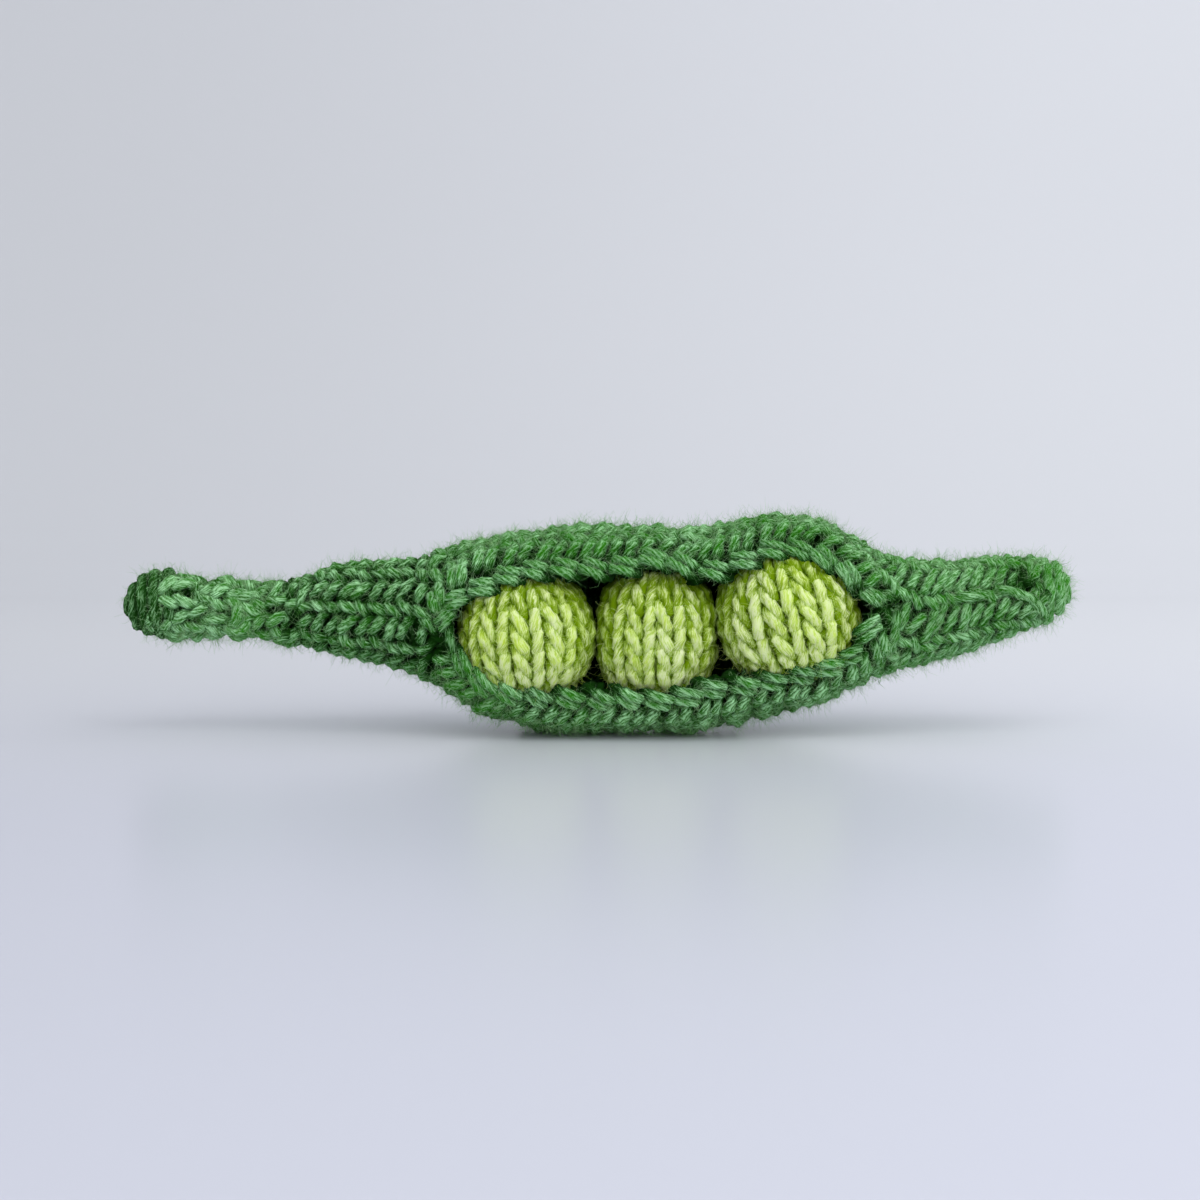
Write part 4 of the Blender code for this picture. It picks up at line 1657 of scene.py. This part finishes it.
@dataclass
class Closing:
    """The yarns that close the casing's two ends and its seam."""

    form: PodForm
    mouth: Mouth
    gauge: Gauge
    halo: Halo
    stem: Winding = Winding(radius=4.15 * MM, turns=4.5)
    tip: Winding = Winding(radius=3.85 * MM, turns=4.1)
    yarn: Yarn = Yarn(radius=0.98 * MM, wander=0.45 * MM)
    sewing_yarn: Yarn = Yarn(radius=0.78 * MM, wander=0.3 * MM)
    sewn: tuple[float, float] = (41.0 * MM, 55.0 * MM)  # where the sewing starts and ends
    sewn_stitch: float = 4.2 * MM
    sewn_sway: float = 0.55 * MM
    sewn_lift: float = -2.1 * MM
    sewn_points: int = 90
    gathering: tuple[tuple[float, float, float], ...] = (  # places along X and Z, and off the fabric
        (48.6, 19.4, -2.4), (49.8, 19.6, 0.0), (52.0, 19.9, 0.5), (54.4, 20.2, 0.1), (55.6, 20.0, -1.2),
        (56.6, 20.8, 0.2), (58.4, 20.4, 0.7), (60.4, 19.9, 0.4), (61.4, 19.0, -0.5), (62.2, 18.2, 0.4),
        (63.0, 16.8, 0.2), (63.4, 15.4, -2.0),
    )
    gathering_points: int = 130
    rounding: int = 5  # over how many points to each side the gathering strand's bends are rounded

    def make(self, shop: Workshop) -> None:
        """Winds the yarn that closes both ends, and sews up the seam.

        Args:
            shop: what they are made with.
        """
        # The stem knob gets painted shade, for the side turned from the key lamp; the tip gather's shade is
        # below zero, painted light.
        for name, guides, node, yarn, shade in (
            ("stem_knob", self._wind(self.stem, 0), "stem_end_yarn", self.yarn, 1.00 * MM),
            ("tip_gather", self._wind(self.tip, 1), "tip_end_yarn", self.yarn, -0.55 * MM),
            ("tip_seam", self._sew(), "tip_seam_yarn", self.sewing_yarn, 0.1 * MM),
        ):
            piece = shop.knit(name, guides, yarn, self.gauge, CLOSING_YARN_SEED, shade)
            shop.fuzz(name + "_fuzz", piece, CLOSING_FIBRE_SEED, self.halo)
            shop.settle(piece, node)

    def _wind(self, winding: Winding, end: int) -> Guides:
        """Winds one strand over a round end, and on along the casing for its last turn.

        Args:
            winding: the strand.
            end: 0 at the casing's lowest end along X, 1 at its highest.

        Returns:
            The strand as guides.
        """
        base, inwards = self.form.ends[end], 1 - 2 * end
        share = np.linspace(0, 1, int(winding.points * winding.turns))
        dome = np.minimum(share * winding.turns / (winding.turns - 1), 1.0)
        polar = winding.start + (math.pi / 2 - winding.start) * dome
        sleeve = np.maximum(share * winding.turns - (winding.turns - 1), 0.0)
        advance = winding.inwards + winding.radius * (1 - np.cos(polar)) + winding.sleeve * sleeve
        x = base + inwards * advance
        middle = float(self.form.section(np.array([base + inwards * winding.centre]))[0][0])
        angle = inwards * winding.turns * TAU * share + winding.phase
        waver = np.sin(angle * winding.waver_rate + winding.waver_start)
        reach = winding.radius * np.sin(polar) * (1 + winding.waver * waver)
        c, s = np.cos(angle), np.sin(angle)
        out = np.stack([-inwards * np.cos(polar), c * np.sin(polar), s * np.sin(polar)], axis=-1)
        guides = Guides()
        guides.add_strand(np.stack([x, c * reach, middle + s * reach], axis=-1), out)
        return guides

    def _sew(self) -> Guides:
        """Lays the sewing yarn in the seam, and the strand that gathers the tip above it.

        Returns:
            Both strands as guides.
        """
        guides = Guides()
        route = np.array(self.mouth.seam) * MM
        x = np.linspace(*self.sewn, self.sewn_points)
        wave = np.sin(x / self.sewn_stitch * TAU)
        height = np.interp(x, route[:, 0], route[:, 1]) + self.sewn_sway * wave
        guides.add_strand(*self._front(x, height, self.sewn_lift))
        knots = np.array(self.gathering) * MM
        share = np.linspace(0, len(knots) - 1, self.gathering_points)
        kernel = np.hanning(2 * self.rounding + 1)
        kernel = kernel / kernel.sum()
        route = [np.interp(share, np.arange(len(knots)), knots[:, k]) for k in range(3)]
        padded = [np.pad(values, self.rounding, mode="edge") for values in route]
        x, height, lift = (np.convolve(values, kernel, "valid") for values in padded)
        place, out = self._front(x, height, 0.0)
        guides.add_strand(place + out * lift[:, None], out)
        return guides

    def _front(self, x: Array, height: Array, lift: float) -> tuple[Array, Array]:
        """Points on the front of the skin at these places and heights, and their outward directions.

        Args:
            x: places along X.
            height: places along Z.
            lift: how far off the skin they stand.

        Returns:
            The points and the directions.
        """
        place = self.form.onto(np.stack([x, -self.form.section(x)[2], height], axis=-1))
        out = self.form.normal(place)
        return place + out * lift, out


# ---------------------------------------------------------------- the peas


class PeaPlace(Enum):
    """Where a pea sits in the pod."""

    LEFT = "left"
    MIDDLE = "middle"
    RIGHT = "right"


@dataclass
class Pea:
    """One knitted, stuffed pea."""

    place: PeaPlace
    lean: float  # degrees that its poles lean towards +X
    turn: float  # degrees that its stitches are turned about its poles
    squareness: float  # 2 for an ellipsoid, more for a fuller shape
    yarn: Yarn = Yarn(radius=0.95 * MM, groove=0.18, twist=100.0, wander=0.25 * MM)
    gauge: Gauge = Gauge(pitch=3.0 * MM, bow=0.195, lean=0.12, height=0.92, depth=0.95 * MM)
    unevenness: float = 0.12 * MM
    stitches: int = 12
    top_latitude: float = 74.0
    courses: int = 9
    lining_sink: float = 1.2 * MM
    proud: float = 0.65 * MM  # how far the wool stands outside the CAD cover
    halo: Halo = Halo(per_cm2=390.0, behind=0.0)
    crown: float = 60.0  # the latitude beyond which every other column has ended
    top_shade: float = 1.0 * MM  # painted shadow of the upper lip on its top, counted in depth for its colour
    top_range: tuple[float, float] = (0.25, 0.6)  # from what share of its height, and over what share
    edge_shade: float = 1.05 * MM  # painted shade on its sides and its underside, where it meets its neighbours and the lower lip
    edge_range: tuple[float, float] = (0.5, 0.5)
    closing_turns: float = 1.7
    closing_start: float = 0.04  # from a pole to the first turn, as an angle
    closing_width: float = 0.19  # and from the first to the last
    closing_points: int = 60
    lining_around: int = 32
    lining_rings: int = 15
    centre: Array = field(init=False)
    half: Array = field(init=False)
    rotation: Array = field(init=False)

    @property
    def number(self) -> int:
        """Its number from the stem on, from 0."""
        return list(PeaPlace).index(self.place)

    def __post_init__(self) -> None:
        """Reads the pea's size and place from its CAD cover."""
        low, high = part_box("pea_cover_" + self.place.value)
        self.centre = np.array((low + high) / 2)
        self.half = np.array((high - low) / 2)
        angle = math.radians(self.lean)
        self.rotation = np.array(
            [[math.cos(angle), 0, math.sin(angle)], [0, 1, 0], [-math.sin(angle), 0, math.cos(angle)]]
        )

    def skin(self, latitude: Array, longitude: Array, sink: float) -> Array:
        """Points on the pea, sunk below its outside.

        Args:
            latitude: angles from its middle towards its top pole.
            longitude: angles round its poles.
            sink: how far inside.

        Returns:
            The points, one row each.
        """
        half = self.half - sink
        ring = np.cos(latitude)
        local = np.stack([ring * np.cos(longitude), ring * np.sin(longitude), np.sin(latitude)], axis=-1)
        local /= (np.abs(local) ** self.squareness).sum(axis=-1, keepdims=True) ** (1 / self.squareness)
        return local * half @ self.rotation.T + self.centre

    def guides(self) -> Guides:
        """Lays the pea's courses from pole to pole.

        Returns:
            Its courses.
        """
        guides = Guides()
        rng = np.random.default_rng(PEA_SEED + self.number)
        sink = self.yarn.radius - self.proud
        last = math.radians(self.top_latitude)
        spacing = 2 * last / (self.courses - 1)
        turns = stitch_turns(True)
        for k in range(self.courses):
            latitude = -last + k * spacing
            count = self.stitches if abs(latitude) < math.radians(self.crown) else self.stitches // 2
            turn = np.tile(turns, count)
            number = np.repeat(np.arange(count), len(turns))
            longitude = (number + turn / TAU) / count * TAU + math.radians(self.turn - 90)
            level = np.full_like(longitude, latitude)
            nudge = 0.01
            place = self.skin(level, longitude, sink)
            side = self.skin(level, longitude + nudge, sink) - self.skin(level, longitude - nudge, sink)
            up = self.skin(level + nudge, longitude, sink) - self.skin(level - nudge, longitude, sink)
            across = side / (2 * nudge) * TAU / count
            along = up / (2 * nudge) * spacing
            shifts = [uneven(rng, number, turn / TAU, count, self.unevenness)[:, None] for _ in range(3)]
            place = place + unit(across) * shifts[0] + unit(along) * shifts[1]
            out = unit(np.cross(across, along))
            # Painted shadow on the top and painted shade at the sides and underside: the base point moves out
            # as far as the lift takes the loop back in, so only the colour changes, and fewer fibres grow
            # there.
            rise = (place[:, 2] - self.centre[2]) / self.half[2]
            aside = np.abs(place[:, 0] - self.centre[0]) / self.half[0]
            top = smoothstep((rise - self.top_range[0]) / self.top_range[1])
            edge = smoothstep((np.maximum(aside, -rise) - self.edge_range[0]) / self.edge_range[1])
            shade = self.top_shade * top + self.edge_shade * edge
            guides.add(place + out * shade[:, None], across, along, out, turn, shifts[2][:, 0] - shade, True)
        return guides

    def closing(self) -> Guides:
        """Winds the yarn that closes the pea round both its poles.

        Returns:
            Two strands as guides.
        """
        guides = Guides()
        winding = np.linspace(0, 1, self.closing_points)
        for pole in (-1, 1):
            latitude = pole * (math.pi / 2 - self.closing_start - self.closing_width * winding)
            place = self.skin(latitude, winding * self.closing_turns * TAU, self.yarn.radius)
            guides.add_strand(place, place - self.centre)
        return guides

    def make(self, shop: Workshop) -> None:
        """Knits, fuzzes, closes and lines the pea.

        Args:
            shop: what it is knitted with.
        """
        side = self.place.value
        seed = PEA_YARN_SEED + self.number
        knit = shop.knit(f"pea_knit_{side}", self.guides(), self.yarn, self.gauge, seed)
        halo = replace(self.halo, back_limit=float(self.centre[1]))
        shop.fuzz(f"pea_fuzz_{side}", knit, PEA_FIBRE_SEED + self.number, halo)
        shop.settle(knit, "pea_cover_" + side)
        closing = shop.knit(f"pea_closing_{side}", self.closing(), self.yarn, self.gauge, seed)
        shop.settle(closing, "pea_closing_yarn_" + side)
        self._line(shop)

    def _line(self, shop: Workshop) -> None:
        """Makes the pea's inner side: rings of squares, closed by a fan at each pole.

        Args:
            shop: what it is made with.
        """
        around, rings = self.lining_around, self.lining_rings
        latitudes = np.linspace(-math.pi / 2, math.pi / 2, rings + 2)[1:-1]
        longitudes = np.linspace(0, TAU, around, endpoint=False)
        grid = [self.skin(np.full(around, latitude), longitudes, self.lining_sink) for latitude in latitudes]
        poles = self.skin(np.array([-math.pi / 2, math.pi / 2]), np.zeros(2), self.lining_sink)
        faces = grid_faces(rings, around, True)
        south, north, last = rings * around, rings * around + 1, (rings - 1) * around
        for column in range(around):
            beside = (column + 1) % around
            faces += [(south, beside, column), (last + column, last + beside, north)]
        side = self.place.value
        shop.line(f"pea_lining_{side}", np.concatenate([*grid, poles]), faces, f"pea_cover_{side}")


# ---------------------------------------------------------------- studio


@dataclass(frozen=True)
class SweepFinish:
    """Satin card, cooler where it lies flat than where it stands, with painted light that makes it lighter
    towards the right.
    """

    flat: Colour = (0.678, 0.695, 0.785)
    standing: Colour = (0.792, 0.808, 0.845)
    painted_falloff: tuple[float, float] = (0.94, 1.035)  # painted light falloff from the key lamp on the right: how light it is at the left and at the right
    across: float = 0.14  # how far to each side the painted falloff runs
    depths: tuple[float, float] = (-0.10, 0.14)  # from where to where along Y its colour changes

    def material(self) -> bpy.types.Material:
        """Builds the material.

        Returns:
            A satin material.
        """
        craft = FinishCraft("sweep")
        parts = craft.node("ShaderNodeSeparateXYZ", {0: craft.place()})
        sideways, back = (Field(craft, parts.outputs[k]) for k in (0, 1))
        colour = craft.mix(craft.spread(back, *self.depths, 0.0, 1.0), self.flat, self.standing)
        # Painted light: darker to the left and lighter to the right, as the key lamp stands to the right.
        painted_light = craft.spread(sideways, -self.across, self.across, *self.painted_falloff)
        return craft.dress({"Base Color": colour * painted_light, "Roughness": 0.27, "Specular IOR Level": 0.17})


@dataclass(frozen=True)
class Softbox:
    """A square area lamp that looks at the pod."""

    name: str
    place: tuple[float, float, float]
    size: float
    watts: float
    target: tuple[float, float, float] = (0.0, 0.0, 15 * MM)

    def hang(self) -> None:
        """Puts the lamp in the scene."""
        data = bpy.data.lights.new(self.name, "AREA")
        data.energy = self.watts
        data.size = self.size
        lamp = place_in_scene(self.name, data)
        lamp.location = self.place
        aim = Vector(self.target) - Vector(self.place)
        lamp.rotation_euler = aim.to_track_quat("-Z", "Y").to_euler()


@dataclass
class Studio:
    """The pale sweep that the pod lies on, its lights and the camera."""

    frame_width: float = 170.6 * MM  # what the camera takes in at the pod
    lens: float = 85.0
    sensor: float = 36.0
    clip: tuple[float, float] = (0.01, 20.0)
    elevation: float = 5.5  # how far the camera looks down, in degrees
    target: tuple[float, float, float] = (0.3 * MM, 0.0, 18.9 * MM)
    lamps: tuple[Softbox, ...] = (
        Softbox("key", (0.50, -0.10, 0.54), size=0.95, watts=1.9),
        Softbox("front_fill", (0.10, -0.62, 0.56), size=1.00, watts=4.2),
    )
    room_colour: Colour = (0.84, 0.86, 0.91)
    room_strength: float = 0.53
    sweep_side: float = 1.8  # how far the sweep reaches to each side
    sweep_front: float = -1.6
    sweep_bend: float = 0.20  # where it starts to curve up
    sweep_radius: float = 0.35
    sweep_top: float = 2.2
    bend_steps: int = 24

    def make(self) -> None:
        """Sets up the sweep, the lights, the world and the camera."""
        self._sweep()
        self._world()
        for lamp in self.lamps:
            lamp.hang()
        self._camera()
        bpy.context.scene.view_settings.view_transform = "Standard"

    def _camera(self) -> None:
        """Stands the camera in front of the mouth, a little above the surface."""
        data = bpy.data.cameras.new("camera")
        data.lens = self.lens
        data.sensor_width = self.sensor
        data.clip_start, data.clip_end = self.clip
        camera = place_in_scene("camera", data)
        distance = self.frame_width * self.lens / self.sensor
        angle = math.radians(self.elevation)
        camera.location = Vector(self.target) + Vector((0, -math.cos(angle), math.sin(angle))) * distance
        camera.rotation_euler = (math.pi / 2 - angle, 0, 0)
        bpy.context.scene.camera = camera

    def _world(self) -> None:
        """Surrounds the scene with an even, slightly cool light."""
        world = bpy.data.worlds.new("room")
        world.use_nodes = True
        background = world.node_tree.nodes["Background"]
        background.inputs["Color"].default_value = (*self.room_colour, 1.0)
        background.inputs["Strength"].default_value = self.room_strength
        bpy.context.scene.world = world

    def _sweep(self) -> None:
        """Makes the surface, which curves up into the wall behind."""
        bend, radius = self.sweep_bend, self.sweep_radius
        profile = [(self.sweep_front, 0.0), (bend, 0.0)]
        for step in range(1, self.bend_steps + 1):
            angle = math.pi / 2 * step / self.bend_steps
            profile.append((bend + radius * math.sin(angle), radius * (1 - math.cos(angle))))
        profile.append((bend + radius, self.sweep_top))
        mesh = bpy.data.meshes.new("sweep")
        points = [(x, y, z) for y, z in profile for x in (-self.sweep_side, self.sweep_side)]
        faces = [(2 * k, 2 * k + 1, 2 * k + 3, 2 * k + 2) for k in range(len(profile) - 1)]
        mesh.from_pydata(points, [], faces)
        mesh.shade_smooth()
        mesh.materials.append(SweepFinish().material())
        place_in_scene("sweep", mesh)


# ---------------------------------------------------------------- all together


def dress_hidden_nodes(fibre: bpy.types.Material, pod: bpy.types.Material, pea: bpy.types.Material) -> None:
    """Gives the CAD pieces that stay inside the knitting their materials.

    Args:
        fibre: the stuffing's material.
        pod: the pod yarn's.
        pea: the pea yarn's.
    """
    for name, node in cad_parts.items():
        if "filling" in name:
            material = fibre
        elif name.startswith("pea_closing"):
            material = pea
        elif name.endswith("_yarn"):
            material = pod
        else:
            continue
        node.data.materials.clear()
        node.data.materials.append(material)


def main() -> None:
    """Builds the pod, its peas and the studio in order."""
    logging.basicConfig(level=logging.INFO, format="%(name)s %(message)s")
    Studio().make()
    pod_wool, pea_wool, pod_fibre, pea_fibre, stuffing = (
        finish.material() for finish in (POD_WOOL, PEA_WOOL, POD_FIBRE, PEA_FIBRE, STUFFING)
    )
    trees = stitch_tree(), halo_tree()
    form = PodForm()
    Casing(form, Mouth(form)).make(Workshop("pod_wool", pod_wool, pod_fibre, *trees))
    pea_shop = Workshop("pea_wool", pea_wool, pea_fibre, *trees)
    for pea in (
        Pea(PeaPlace.LEFT, lean=-4.0, turn=4.0, squareness=2.15),
        Pea(PeaPlace.MIDDLE, lean=1.0, turn=14.0, squareness=2.6),
        Pea(PeaPlace.RIGHT, lean=-14.0, turn=-6.0, squareness=2.3),
    ):
        pea.make(pea_shop)
    dress_hidden_nodes(stuffing, pod_wool, pea_wool)


if __name__ == "__main__":
    main()
